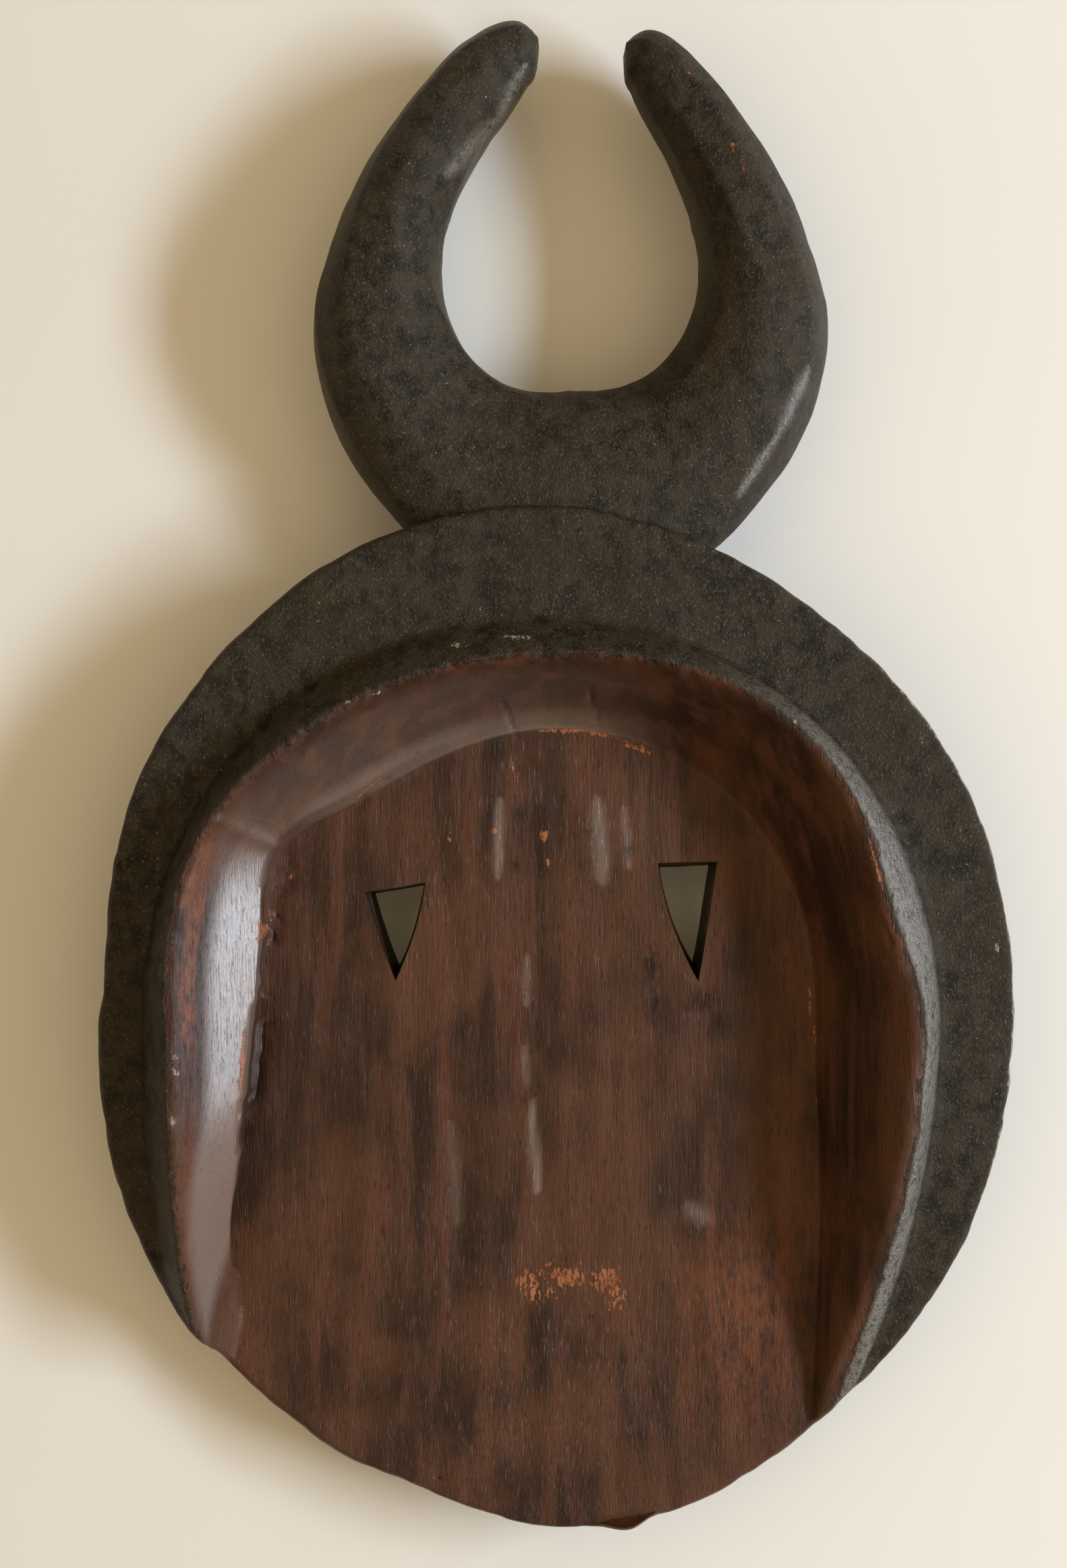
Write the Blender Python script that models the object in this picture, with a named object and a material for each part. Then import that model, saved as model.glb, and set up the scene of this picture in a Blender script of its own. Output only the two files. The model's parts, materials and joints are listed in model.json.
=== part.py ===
"""Carved wooden face mask with horns, lying on its face with the hollow back upwards.

The mask is one block of wood: an oval disc, a raised horseshoe wall round the hollow that takes the
wearer's face, and a crescent of two thick horns at the top of the disc. The front is plain: a teardrop
lobe round each eye hole and a box mouth. They and the horns' base are flush in front, so the mask
rests on them.

Lengths are in metres. X runs across the disc, +Y towards the horns and +Z out of the hollow. Plan
positions are worked out from the disc's centre, and the finished carving is then centred on the origin.
"""
import math

import bmesh
import bpy
import numpy as np

# Disc, seen from behind
DISC_HALF_WIDTH = 0.1272
DISC_HALF_HEIGHT = 0.1432
RIM_THICKNESS = 0.011
RIM_ROUNDING = 0.0018
# Hand-cut waver of the rim: angle from +X in degrees, share of the plain oval's radius
RIM_WAVER = (
    (0, 0.998), (15, 1.005), (30, 1.006), (45, 0.990), (60, 0.978), (75, 0.984), (90, 1.002),
    (105, 1.013), (120, 1.021), (135, 1.025), (150, 1.029), (160, 1.016), (172, 0.996), (185, 1.005),
    (200, 1.013), (215, 1.013), (228, 0.995), (243, 0.984), (255, 0.974), (268, 0.998), (285, 1.003),
    (305, 0.986), (325, 0.992), (345, 0.993),
)

# Heights, stacked up from the surface that the mask lies on
LOBE_RISE = 0.010
PLANK_THICKNESS = 0.009
BACK_OVER_FLOOR = 0.019
WALL_RISE = 0.012
CHIN_EDGE_THICKNESS = 0.0095

# Horseshoe wall: the flange left outside it, its outer face and its inner slope, each a width in plan
FLANGE_RIGHT = 0.0205
FLANGE_LEFT = 0.0122
FLANGE_TOP = 0.0311
OUTER_FACE_SIDE = 0.0092
OUTER_FACE_TOP = 0.0105
SLOPE_SIDE = 0.0213
SLOPE_TOP = 0.0207
WALL_LEAN = 0.035
FOOT_REACH = 0.190
CREST_REACH = 0.203
FLOOR_REACH = 0.600
WALL_FALL = 0.024
FLANGE_FALL = 0.013
FRONT_FALL = 0.009
FALL_START = 0.020
LEAST_SLOPE = 0.007
LEAST_OUTER_FACE = 0.003
FOOT_ROUNDING = 0.002
CREST_ROUNDING = 0.005
FLOOR_ROUNDING = 0.002
# Power of each line's oval above the disc's centre: 2 is a true oval, and more is squarer
FOOT_SQUARENESS = 2.1
CREST_SQUARENESS = 2.2
FLOOR_SQUARENESS = 2.1
# The inner slope's profile: 1 is straight, and more is rounder on the right and a deeper cove at the top
SLOPE_ROUND_RIGHT = 1.5
SLOPE_COVE_TOP = 1.35
# On the left it is cut in long facets, steep at the foot: share of the slope's width, and of the full wall's
# height, counted down from the crest
SLOPE_FACETS_LEFT = ((-1, -3.9), (0, 0), (0.15, 0.58), (0.46, 0.71), (0.73, 0.83), (1, 1), (2, 1.6))
# The wall's crest stands higher on the left, and the flange outside it hangs lower
CREST_LIFT_LEFT = 0.002
FLANGE_DROP_LEFT = 0.003
# Hand-cut waver of the crest and of the floor's edge: angle in degrees, metres outwards
CREST_WAVER = (
    (0, 0.0015), (21, -0.0035), (38, 0.0), (53, 0.002), (95, -0.001), (131, -0.002), (150, 0.0012),
    (195, -0.0018), (222, 0.001), (306, -0.001), (345, 0.0015),
)
FLOOR_WAVER = (
    (0, -0.0025), (25, -0.0012), (55, 0.0006), (90, 0.0006), (132, -0.0022), (149, 0.0045),
    (163, -0.0030), (188, -0.0040), (203, 0.0), (215, 0.0040), (231, -0.002), (313, 0.002),
)

# The hollow's floor rises towards the open chin from this far below the disc's centre
CHIN_LIFT_START = 0.040
# The front curls up to the rim by this power of the share of the radius
FRONT_CURL = 4

# Eye holes: triangles with the base up, wider at the back than in front
EYE_SPACING = 0.0832
EYE_MIDDLE = -0.0040
EYE_WIDTH = 0.0170
EYE_FRONT_SHARE = 0.80
# For each eye: side, height of the base's middle, drop to the apex, tilt of the base, apex off-centre
EYES = (
    (-1, 0.0368, 0.0268, 0.0027, 0.0),
    (1, 0.0440, 0.0340, 0.0006, 0.0030),
)

# Teardrop lobes round the eyes, and the box mouth
LOBE_WIDTH = 0.044
LOBE_LENGTH = 0.092
LOBE_TOP = 0.062
LOBE_LEAN = 0.012
LOBE_SHOULDER = 0.005
LOBE_POINTEDNESS = 1.2
MOUTH_WIDTH = 0.058
MOUTH_HEIGHT = 0.026
MOUTH_DROP = 0.084
MOUTH_STROKES = 5
MOUTH_STROKE_WIDTH = 0.0022
MOUTH_STROKE_HEIGHT = 0.016
MOUTH_STROKE_DEPTH = 0.003
MOUTH_SHOULDER = 0.002
# Share of the plank's thickness that the root of a lobe or of the mouth reaches into
ROOT_SHARE = 0.25

# Horns: a crescent round a gap, in polar places from straight down (0) to each tip
GAP_RADIUS = 0.0365
GAP_OVER_DISC = 0.0713
GAP_CENTRE_SHIFT = 0.0040
LEFT_TIP_ANGLE = 171.6
RIGHT_TIP_ANGLE = 165.3
HORN_THICKNESS = 0.042
HORN_STEP = 0.002
HORN_SQUARENESS = 2.3
# Degrees before the tip, metres that the inner edge flares out from the gap's round
TIP_FLARE = ((0, 0.0240), (1.0, 0.0203), (5.5, 0.0146), (14, 0.0090), (25, 0.0052), (37, 0.0023), (60, 0.0))
# Degrees before the tip, metres that the outer edge is drawn in to round the tip's corner
TIP_ROUND = ((0, 0.0066), (1.5, 0.0036), (3, 0.0018), (6, 0.0004), (10, 0.0))
# Degrees before the tip, share of the thickness kept
TIP_TAPER = ((0, 0.25), (2.5, 0.38), (8, 0.53), (25, 0.72), (50, 0.87), (80, 0.97), (110, 1.0), (140, 1.0))
# Degrees from straight down, share of the way from the root's thickness to the horns' full thickness
HORN_SWELL = ((0, 0.0), (28, 0.0), (45, 0.3), (70, 0.85), (90, 1.0), (180, 1.0))
# Degrees from straight down, metres outwards from the gap's round
GAP_WAVER = ((0, 0.0003), (34, 0.0024), (65, 0.0009), (95, -0.0004), (180, -0.0004))
# The same, metres from the gap's round to the horns' outer edge, which runs under the disc below 30 degrees
HORN_WIDTHS = (
    (0, 0.058), (15, 0.0575), (27, 0.0550), (37, 0.0510), (47, 0.0480), (60, 0.0440), (75, 0.0391),
    (92, 0.0315), (106, 0.0280), (122, 0.0264), (139, 0.0278), (157, 0.0324), (165, 0.0333),
    (172, 0.0333),
)

# Fineness of the carving's faces, closer together where the wall runs out at the rim
DISC_SIDES = 120
ANGLE_STEPS = 3600
WALL_ENDS = (221, 305)
WALL_END_SPREAD = 12
WALL_END_FINENESS = 2.5
RING_ROOM = 0.0012
HALVINGS = 48
# Where the rings lie, as shares of the way outwards over each zone; the front's are shares of its radius
FLOOR_RINGS = (0.34, 0.6, 0.8, 1.0)
SLOPE_RINGS = (0.15, 0.46, 0.73, 1.0)
OUTER_FACE_RINGS = (0.25, 0.75, 1.0)
FLANGE_RINGS = (0.15, 1.0)
FRONT_RINGS = (0.92, 0.77, 0.53, 0.26)
HORN_STATIONS = 60
TIP_CROWDING = 0.08
HORN_SIDES = 20
LOBE_SIDES = 32
CUT_CLEARANCE = 0.003
SHARP_ANGLE = 40

# Heights and lines that follow from the sizes above
FACE_HEIGHT = LOBE_RISE
FLOOR_HEIGHT = FACE_HEIGHT + PLANK_THICKNESS
BACK_HEIGHT = FLOOR_HEIGHT + BACK_OVER_FLOOR
CREST_HEIGHT = BACK_HEIGHT + WALL_RISE
FACETED_WALL = CREST_HEIGHT + CREST_LIFT_LEFT - FLOOR_HEIGHT
RIM_FRONT_HEIGHT = BACK_HEIGHT - RIM_THICKNESS
CHIN_LIFT = RIM_FRONT_HEIGHT - FRONT_FALL + CHIN_EDGE_THICKNESS - FLOOR_HEIGHT
GAP_CENTRE_RISE = DISC_HALF_HEIGHT + GAP_OVER_DISC
HORN_AXIS_HEIGHT = HORN_THICKNESS / 2
HORN_ROOT_THICKNESS = 2 * (BACK_HEIGHT - HORN_STEP - HORN_AXIS_HEIGHT)


def smooth_curve(place, knots, period=None):
    """Cubic curve through the knots, with each knot's slope taken from its two neighbours."""
    x = np.array([k[0] for k in knots], float)
    y = np.array([k[1] for k in knots], float)
    place = np.asarray(place, float)
    if period:
        place = (place - x[0]) % period + x[0]
        x = np.concatenate(([x[-1] - period], x, [x[0] + period, x[1] + period]))
        y = np.concatenate(([y[-1]], y, [y[0], y[1]]))
    slope = np.gradient(y, x)
    place = np.clip(place, x[0], x[-1])
    i = np.clip(np.searchsorted(x, place, side="right") - 1, 0, len(x) - 2)
    step = x[i + 1] - x[i]
    t = (place - x[i]) / step
    return (y[i] * (1 + 2 * t) * (1 - t) ** 2 + slope[i] * step * t * (1 - t) ** 2
            + y[i + 1] * t * t * (3 - 2 * t) + slope[i + 1] * step * t * t * (t - 1))


def smooth_max(a, b, width):
    """The larger of two heights, rounded over the width where they meet."""
    blend = np.clip(0.5 + 0.5 * (a - b) / width, 0, 1)
    return b + (a - b) * blend + width * blend * (1 - blend)


def smooth_min(a, b, width):
    """The smaller of two heights, rounded over the width where they meet."""
    return -smooth_max(-a, -b, width)


def rim_radius(angle):
    """Radius of the disc's rim: an oval with the hand-cut waver."""
    oval = 1 / np.hypot(np.cos(angle) / DISC_HALF_WIDTH, np.sin(angle) / DISC_HALF_HEIGHT)
    return oval * smooth_curve(np.degrees(angle), RIM_WAVER, 360)


def horseshoe_radius(angle, inset_side, inset_top, reach, squareness):
    """Distance from the disc's centre to a line of the horseshoe wall.

    Above the centre the line is an oval; below it the sides draw in slowly over the reach and lean
    with the wall. The radius is found on each ray by halving.
    """
    right = DISC_HALF_WIDTH - FLANGE_RIGHT - inset_side
    left = FLANGE_LEFT + inset_side - DISC_HALF_WIDTH
    top = DISC_HALF_HEIGHT - FLANGE_TOP - inset_top
    half, middle = (right - left) / 2, (right + left) / 2
    low, high = np.zeros_like(angle), np.full_like(angle, 2 * DISC_HALF_HEIGHT)
    for _ in range(HALVINGS):
        radius = (low + high) / 2
        u, v = radius * np.cos(angle), radius * np.sin(angle)
        across = np.abs(u - middle - WALL_LEAN * np.minimum(v, 0)) / half
        along = np.abs(v) / np.where(v > 0, top, reach)
        power = np.where(v > 0, squareness, 2)
        outside = across ** power + along ** power > 1
        high = np.where(outside, radius, high)
        low = np.where(outside, low, radius)
    return radius


def wall_lines(angle):
    """Radii of the floor's edge, of the crest and of the wall's foot on the flange, in that order."""
    degrees = np.degrees(angle)
    side, top = OUTER_FACE_SIDE + SLOPE_SIDE, OUTER_FACE_TOP + SLOPE_TOP
    foot = horseshoe_radius(angle, 0, 0, FOOT_REACH, FOOT_SQUARENESS)
    crest = horseshoe_radius(angle, OUTER_FACE_SIDE, OUTER_FACE_TOP, CREST_REACH, CREST_SQUARENESS)
    floor = horseshoe_radius(angle, side, top, FLOOR_REACH, FLOOR_SQUARENESS)
    crest = crest + smooth_curve(degrees, CREST_WAVER, 360)
    floor = floor + smooth_curve(degrees, FLOOR_WAVER, 360)
    crest = np.maximum(crest, floor + LEAST_SLOPE)
    return floor, crest, np.maximum(foot, crest + LEAST_OUTER_FACE)


def floor_height(v):
    """Height of the hollow's floor, which lifts as a square towards the chin's edge."""
    share = np.clip((-v - CHIN_LIFT_START) / (DISC_HALF_HEIGHT - CHIN_LIFT_START), 0, None)
    return FLOOR_HEIGHT + CHIN_LIFT * share ** 2


def leftness(angle):
    """1 on the disc's left, falling as a squared cosine to 0 at the top and the bottom."""
    return np.clip(-np.cos(angle), 0, 1) ** 2


def fall_share(v):
    """Smooth step from 0 below the disc's centre to 1 as far above its lower edge, for falls to the chin."""
    share = np.clip((-v - FALL_START) / (DISC_HALF_HEIGHT - 2 * FALL_START), 0, 1)
    return share * share * (3 - 2 * share)


def crest_height(v, angle):
    """Height of the wall's crest, which falls towards the two ends of the horseshoe."""
    return CREST_HEIGHT + CREST_LIFT_LEFT * leftness(angle) - WALL_FALL * fall_share(v)


def slope_height(share, angle, floor, top):
    """Height of the inner slope at a share of its width: facets left, round right, a cove on top."""
    left = np.clip(0.5 - np.cos(angle), 0, 1)
    up = np.clip(np.sin(angle), 0, 1) ** 2
    places, rises = zip(*SLOPE_FACETS_LEFT)
    faceted = top - (1 - np.interp(share, places, rises)) * FACETED_WALL
    rounded = floor + (top - floor) * (1 - np.sign(1 - share) * np.abs(1 - share) ** SLOPE_ROUND_RIGHT)
    cove = floor + (top - floor) * np.sign(share) * np.abs(share) ** SLOPE_COVE_TOP
    return (rounded + (faceted - rounded) * left) * (1 - up) + cove * up


def back_height(radius, angle):
    """Height of the mask's back: floor, inner slope, crest, outer face and flange in one profile."""
    floor_edge, crest, foot = wall_lines(angle)
    v = radius * np.sin(angle)
    floor, top = floor_height(v), crest_height(v, angle)
    flange = BACK_HEIGHT - FLANGE_DROP_LEFT * leftness(angle) - FLANGE_FALL * fall_share(v)
    share = (radius - floor_edge) / (crest - floor_edge)
    inner = slope_height(share, angle, floor, top)
    outer = top - (top - flange) * (radius - crest) / (foot - crest)
    wall = smooth_min(inner, smooth_max(outer, flange, FOOT_ROUNDING), CREST_ROUNDING)
    return smooth_max(floor, wall, FLOOR_ROUNDING)


def front_height(radius, angle):
    """Height of the mask's front: flat in the middle, curling up to the rim's front edge."""
    rim = rim_radius(angle)
    edge = RIM_FRONT_HEIGHT - FRONT_FALL * fall_share(rim * np.sin(angle))
    return FACE_HEIGHT + (edge - FACE_HEIGHT) * (radius / rim) ** FRONT_CURL


def disc_angles():
    """Angles round the disc, closer together by the fineness named for the two ends of the wall."""
    degrees = np.linspace(0, 360, ANGLE_STEPS + 1)
    density = np.ones(ANGLE_STEPS)
    for end in WALL_ENDS:
        density += (WALL_END_FINENESS - 1) * np.exp(-((degrees[:-1] - end) / WALL_END_SPREAD) ** 2)
    reached = np.concatenate(([0], np.cumsum(density)))
    places = np.arange(DISC_SIDES) * reached[-1] / DISC_SIDES
    return np.radians(np.interp(places, reached, degrees))


def disc_rings():
    """Rings of the disc from the middle of its back, over the rim, to the middle of its front."""
    angle = disc_angles()
    rim = rim_radius(angle)
    flange = rim - RIM_ROUNDING
    floor_edge, crest, foot = (np.minimum(line, flange) for line in wall_lines(angle))
    back = [floor_edge * share for share in FLOOR_RINGS]
    back += [floor_edge + (crest - floor_edge) * share for share in SLOPE_RINGS]
    back += [crest + (foot - crest) * share for share in OUTER_FACE_RINGS]
    back += [foot + (flange - foot) * share for share in FLANGE_RINGS]
    rings = []
    for i, radius in enumerate(back):
        room = RING_ROOM * (len(back) - 1 - i)
        radius = np.minimum(radius, flange - room)
        rings.append((radius, back_height(radius, angle)))
    upper, lower = back_height(rim, angle), front_height(rim, angle)
    rounding = np.minimum(RIM_ROUNDING, (upper - lower) / 3)
    rings.append((rim, upper - rounding))
    rings.append((rim, lower + rounding))
    for radius in [flange] + [flange * share for share in FRONT_RINGS]:
        rings.append((radius, front_height(radius, angle)))
    return [np.column_stack((r * np.cos(angle), r * np.sin(angle), z)) for r, z in rings]


def horn_edges(place):
    """Inner and outer radius and thickness of the horns at a place in degrees from straight down."""
    away = np.abs(place)
    tip = np.where(place < 0, LEFT_TIP_ANGLE, RIGHT_TIP_ANGLE)
    inner = GAP_RADIUS + smooth_curve(away, GAP_WAVER) + smooth_curve(tip - away, TIP_FLARE)
    outer = GAP_RADIUS + smooth_curve(away, HORN_WIDTHS) - smooth_curve(tip - away, TIP_ROUND)
    swell = smooth_curve(away, HORN_SWELL)
    thickness = HORN_ROOT_THICKNESS + (HORN_THICKNESS - HORN_ROOT_THICKNESS) * swell
    return inner, outer, thickness * smooth_curve(tip - away, TIP_TAPER)


def horn_rings():
    """Sections of the crescent from the left tip, round under the gap, to the right tip.

    Towards the tips they stand closer together by the crowding.
    """
    share = np.linspace(0, 1, HORN_STATIONS)
    share = share - TIP_CROWDING * np.sin(2 * math.pi * share) / (2 * math.pi)
    place = -LEFT_TIP_ANGLE + (LEFT_TIP_ANGLE + RIGHT_TIP_ANGLE) * share
    inner, outer, thickness = horn_edges(place)
    turn = np.arange(HORN_SIDES) * 2 * math.pi / HORN_SIDES
    power = 2 / HORN_SQUARENESS
    across = np.sign(np.cos(turn)) * np.abs(np.cos(turn)) ** power
    up = np.sign(np.sin(turn)) * np.abs(np.sin(turn)) ** power
    rings = []
    for at, low, high, thick in zip(np.radians(place), inner, outer, thickness):
        radius = (low + high) / 2 + across * (high - low) / 2
        rings.append(np.column_stack((
            GAP_CENTRE_SHIFT + radius * math.sin(at),
            GAP_CENTRE_RISE - radius * math.cos(at),
            HORN_AXIS_HEIGHT + up * thick / 2,
        )))
    return rings


def root_height(plan):
    """Height inside the plank for the root of a raised shape, above the front all over its plan."""
    front = front_height(np.hypot(plan[:, 0], plan[:, 1]), np.arctan2(plan[:, 1], plan[:, 0]))
    return front.max() + PLANK_THICKNESS * ROOT_SHARE


def lobe_rings(side):
    """Teardrop lobe round one eye hole, its point towards the mouth, with a rounded shoulder."""
    turn = np.arange(LOBE_SIDES) * 2 * math.pi / LOBE_SIDES
    teardrop = np.sin(turn) * np.abs(np.sin(turn / 2)) ** LOBE_POINTEDNESS
    teardrop /= teardrop.max()
    centre = EYE_MIDDLE + side * EYE_SPACING / 2
    half_way = LOBE_SHOULDER * (1 - math.cos(math.pi / 4))
    rings = []
    for inset, height in ((0, None), (0, LOBE_SHOULDER), (half_way, half_way), (LOBE_SHOULDER, 0)):
        across = (LOBE_WIDTH / 2 - inset) * teardrop
        v = LOBE_TOP - LOBE_LENGTH / 2 - (LOBE_LENGTH / 2 - inset) * np.cos(turn)
        lean = LOBE_LEAN * np.clip((LOBE_TOP - v) / LOBE_LENGTH, 0, 1) ** 2
        plan = np.column_stack((centre + across - side * lean, v))
        height = root_height(plan) if height is None else height
        rings.append(np.column_stack((plan, np.full_like(v, height))))
    return rings


def box_rings(centre, size, low, high, shoulder):
    """Rectangle block between two heights, its lower edge drawn in by the shoulder."""
    corner = np.array(((1, 1), (-1, 1), (-1, -1), (1, -1)), float)
    rings = []
    for inset, height in ((0, high), (0, low + shoulder), (shoulder, low)):
        half = np.array(size) / 2 - inset
        plan = np.array(centre) + corner * half
        rings.append(np.column_stack((plan, np.full(4, height))))
    return rings


def eye_rings(side, top, drop, tilt, apex_shift):
    """Triangular eye hole with its base up, narrower towards the front."""
    centre = EYE_MIDDLE + side * EYE_SPACING / 2
    corners = np.array((
        (centre - EYE_WIDTH / 2, top - tilt / 2),
        (centre + apex_shift, top - drop),
        (centre + EYE_WIDTH / 2, top + tilt / 2),
    ))
    middle = corners.mean(axis=0)
    rings = []
    for share, height in ((1.0, FLOOR_HEIGHT + CUT_CLEARANCE), (1.0, FLOOR_HEIGHT),
                          (EYE_FRONT_SHARE, -CUT_CLEARANCE)):
        rings.append(np.column_stack((middle + (corners - middle) * share, np.full(3, height))))
    return rings


def closed_solid(name, rings, material):
    """One closed body from rings of equal count: two triangles a side, and a fan on each end."""
    bm = bmesh.new()
    loops = [[bm.verts.new(point) for point in ring] for ring in rings]
    count = len(loops[0])
    for upper, lower in zip(loops, loops[1:]):
        for i in range(count):
            j = (i + 1) % count
            bm.faces.new((upper[i], lower[i], lower[j]))
            bm.faces.new((upper[i], lower[j], upper[j]))
    for loop, ring in ((loops[0], rings[0]), (loops[-1], rings[-1])):
        centre = bm.verts.new(ring.mean(axis=0))
        for i in range(count):
            bm.faces.new((loop[i], loop[(i + 1) % count], centre))
    bmesh.ops.recalc_face_normals(bm, faces=bm.faces)
    mesh = bpy.data.meshes.new(name)
    bm.to_mesh(mesh)
    bm.free()
    mesh.shade_smooth()
    mesh.set_sharp_from_angle(angle=math.radians(SHARP_ANGLE))
    mesh.materials.append(material)
    obj = bpy.data.objects.new(name, mesh)
    bpy.context.scene.collection.objects.link(obj)
    return obj


def carve(target, tool, operation):
    """Joins a helper shape to the target, or cuts it away, and keeps the helper out of the model."""
    tool.hide_render = True
    tool.display_type = "WIRE"
    step = target.modifiers.new(f"{operation.lower()} {tool.name}", "BOOLEAN")
    step.operation = operation
    step.solver = "EXACT"
    step.object = tool


def wood_material():
    """Hardwood stained black-brown, with the satin shine of handling."""
    material = bpy.data.materials.new("stained_hardwood")
    material.use_nodes = True
    shader = material.node_tree.nodes["Principled BSDF"]
    shader.inputs["Base Color"].default_value = (0.045, 0.024, 0.014, 1)
    shader.inputs["Roughness"].default_value = 0.5
    shader.inputs["Metallic"].default_value = 0.0
    return material


def plan_centre(mask):
    """Middle of the finished carving's box in plan."""
    shape = mask.evaluated_get(bpy.context.evaluated_depsgraph_get())
    corners = np.array(shape.bound_box)
    return (corners.min(axis=0)[:2] + corners.max(axis=0)[:2]) / 2


def build():
    """Builds the mask from its disc, horns, lobes and mouth, and centres it on the origin."""
    wood = wood_material()
    mask = closed_solid("mask", disc_rings(), wood)
    carve(mask, closed_solid("horns", horn_rings(), wood), "UNION")
    for side, name in ((-1, "left"), (1, "right")):
        carve(mask, closed_solid(f"{name}_lobe", lobe_rings(side), wood), "UNION")
    mouth = np.array((EYE_MIDDLE, -MOUTH_DROP))
    far_corners = mouth + np.array(((1, -1), (-1, -1))) * (MOUTH_WIDTH / 2, MOUTH_HEIGHT / 2)
    block = box_rings(mouth, (MOUTH_WIDTH, MOUTH_HEIGHT), 0, root_height(far_corners), MOUTH_SHOULDER)
    carve(mask, closed_solid("mouth", block, wood), "UNION")
    for i in range(MOUTH_STROKES):
        step = (i + 1) / (MOUTH_STROKES + 1) - 0.5
        centre = (EYE_MIDDLE + step * MOUTH_WIDTH, -MOUTH_DROP)
        size = (MOUTH_STROKE_WIDTH, MOUTH_STROKE_HEIGHT)
        stroke = box_rings(centre, size, -CUT_CLEARANCE, MOUTH_STROKE_DEPTH, 0)
        carve(mask, closed_solid(f"mouth_stroke_{i}", stroke, wood), "DIFFERENCE")
    for side, top, drop, tilt, apex_shift in EYES:
        hole = closed_solid(f"eye_hole_{side}", eye_rings(side, top, drop, tilt, apex_shift), wood)
        carve(mask, hole, "DIFFERENCE")
    shift = plan_centre(mask)
    for obj in bpy.context.scene.objects:
        obj.location = (-shift[0], -shift[1], 0)


for old in list(bpy.data.objects):
    bpy.data.objects.remove(old, do_unlink=True)
build()
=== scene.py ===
"""Looks of a carved wooden face mask with horns, lying on its face and seen from behind.

The carving is one mesh worked out from formulas: the disc with its horseshoe wall, the horns, the eye
lobes, the box mouth and the marks of the knife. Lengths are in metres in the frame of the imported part.
"""

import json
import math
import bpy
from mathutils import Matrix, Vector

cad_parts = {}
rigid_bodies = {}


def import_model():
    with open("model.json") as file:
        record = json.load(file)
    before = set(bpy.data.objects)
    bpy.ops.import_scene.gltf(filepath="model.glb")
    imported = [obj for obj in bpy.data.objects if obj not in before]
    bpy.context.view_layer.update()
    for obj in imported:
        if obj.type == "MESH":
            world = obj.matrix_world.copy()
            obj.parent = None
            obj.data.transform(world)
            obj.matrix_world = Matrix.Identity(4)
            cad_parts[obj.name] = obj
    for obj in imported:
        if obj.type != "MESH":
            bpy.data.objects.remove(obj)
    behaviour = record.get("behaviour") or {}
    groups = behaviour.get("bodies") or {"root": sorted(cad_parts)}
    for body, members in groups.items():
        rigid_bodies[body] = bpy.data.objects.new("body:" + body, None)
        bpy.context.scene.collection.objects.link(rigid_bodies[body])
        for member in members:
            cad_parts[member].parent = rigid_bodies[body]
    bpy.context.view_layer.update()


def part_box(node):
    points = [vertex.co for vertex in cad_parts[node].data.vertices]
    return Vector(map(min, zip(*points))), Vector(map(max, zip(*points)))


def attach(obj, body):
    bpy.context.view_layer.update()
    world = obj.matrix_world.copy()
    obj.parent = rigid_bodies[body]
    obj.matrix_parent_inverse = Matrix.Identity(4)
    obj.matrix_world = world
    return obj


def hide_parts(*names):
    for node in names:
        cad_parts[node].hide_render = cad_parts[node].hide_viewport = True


bl_info = {
    "name": "Horned Mask Carving",
    "version": (1, 0, 0),
    "blender": (4, 5, 0),
    "location": "View3D > Sidebar > Mask",
    "description": "Carves a horned wooden face mask and sets its stage",
    "category": "Add Mesh",
}

import bpy
import numpy as np
from bpy.props import FloatProperty, FloatVectorProperty, PointerProperty

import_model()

# Disc
DISC_HALF_WIDTH = 0.1272
DISC_HALF_HEIGHT = 0.1432
RIM_ROUNDING = 0.0018
RIM_WAVER = (
    (0, 0.998), (15, 1.005), (30, 1.006), (45, 0.990), (60, 0.978), (75, 0.984), (90, 1.002),
    (105, 1.013), (120, 1.021), (135, 1.025), (150, 1.029), (160, 1.016), (172, 0.996), (185, 1.005),
    (200, 1.013), (215, 1.013), (228, 0.995), (243, 0.984), (255, 0.974), (268, 0.998), (285, 1.003),
    (305, 0.986), (325, 0.992), (345, 0.993),
)

# Heights over the surface that the mask lies on
FACE_HEIGHT = 0.010
FLOOR_HEIGHT = 0.019
RIM_FRONT_HEIGHT = 0.027
BACK_HEIGHT = 0.038
CREST_HEIGHT = 0.050
CREST_LIFT_LEFT = 0.002
FLANGE_DROP_LEFT = 0.003
FACETED_WALL = CREST_HEIGHT + CREST_LIFT_LEFT - FLOOR_HEIGHT
CHIN_LIFT = 0.0085
CHIN_LIFT_START = 0.040
FRONT_CURL = 4

# Horseshoe wall
FLANGE_RIGHT = 0.0205
FLANGE_LEFT = 0.0122
FLANGE_TOP = 0.0311
OUTER_FACE_SIDE = 0.0092
OUTER_FACE_TOP = 0.0105
SLOPE_SIDE = 0.0213
SLOPE_TOP = 0.0207
WALL_LEAN = 0.035
FOOT_REACH = 0.190
CREST_REACH = 0.203
FLOOR_REACH = 0.600
WALL_FALL = 0.024
FLANGE_FALL = 0.013
FRONT_FALL = 0.009
FALL_START = 0.020
LEAST_SLOPE = 0.007
LEAST_OUTER_FACE = 0.003
FOOT_ROUNDING = 0.0015
CREST_ROUNDING = 0.004
FLOOR_ROUNDING = 0.0012
FOOT_SQUARENESS = 2.1
CREST_SQUARENESS = 2.2
FLOOR_SQUARENESS = 2.1
SLOPE_ROUND_RIGHT = 1.5
SLOPE_COVE_TOP = 1.35
OUTER_FACE_ROUND = 1.35
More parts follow.
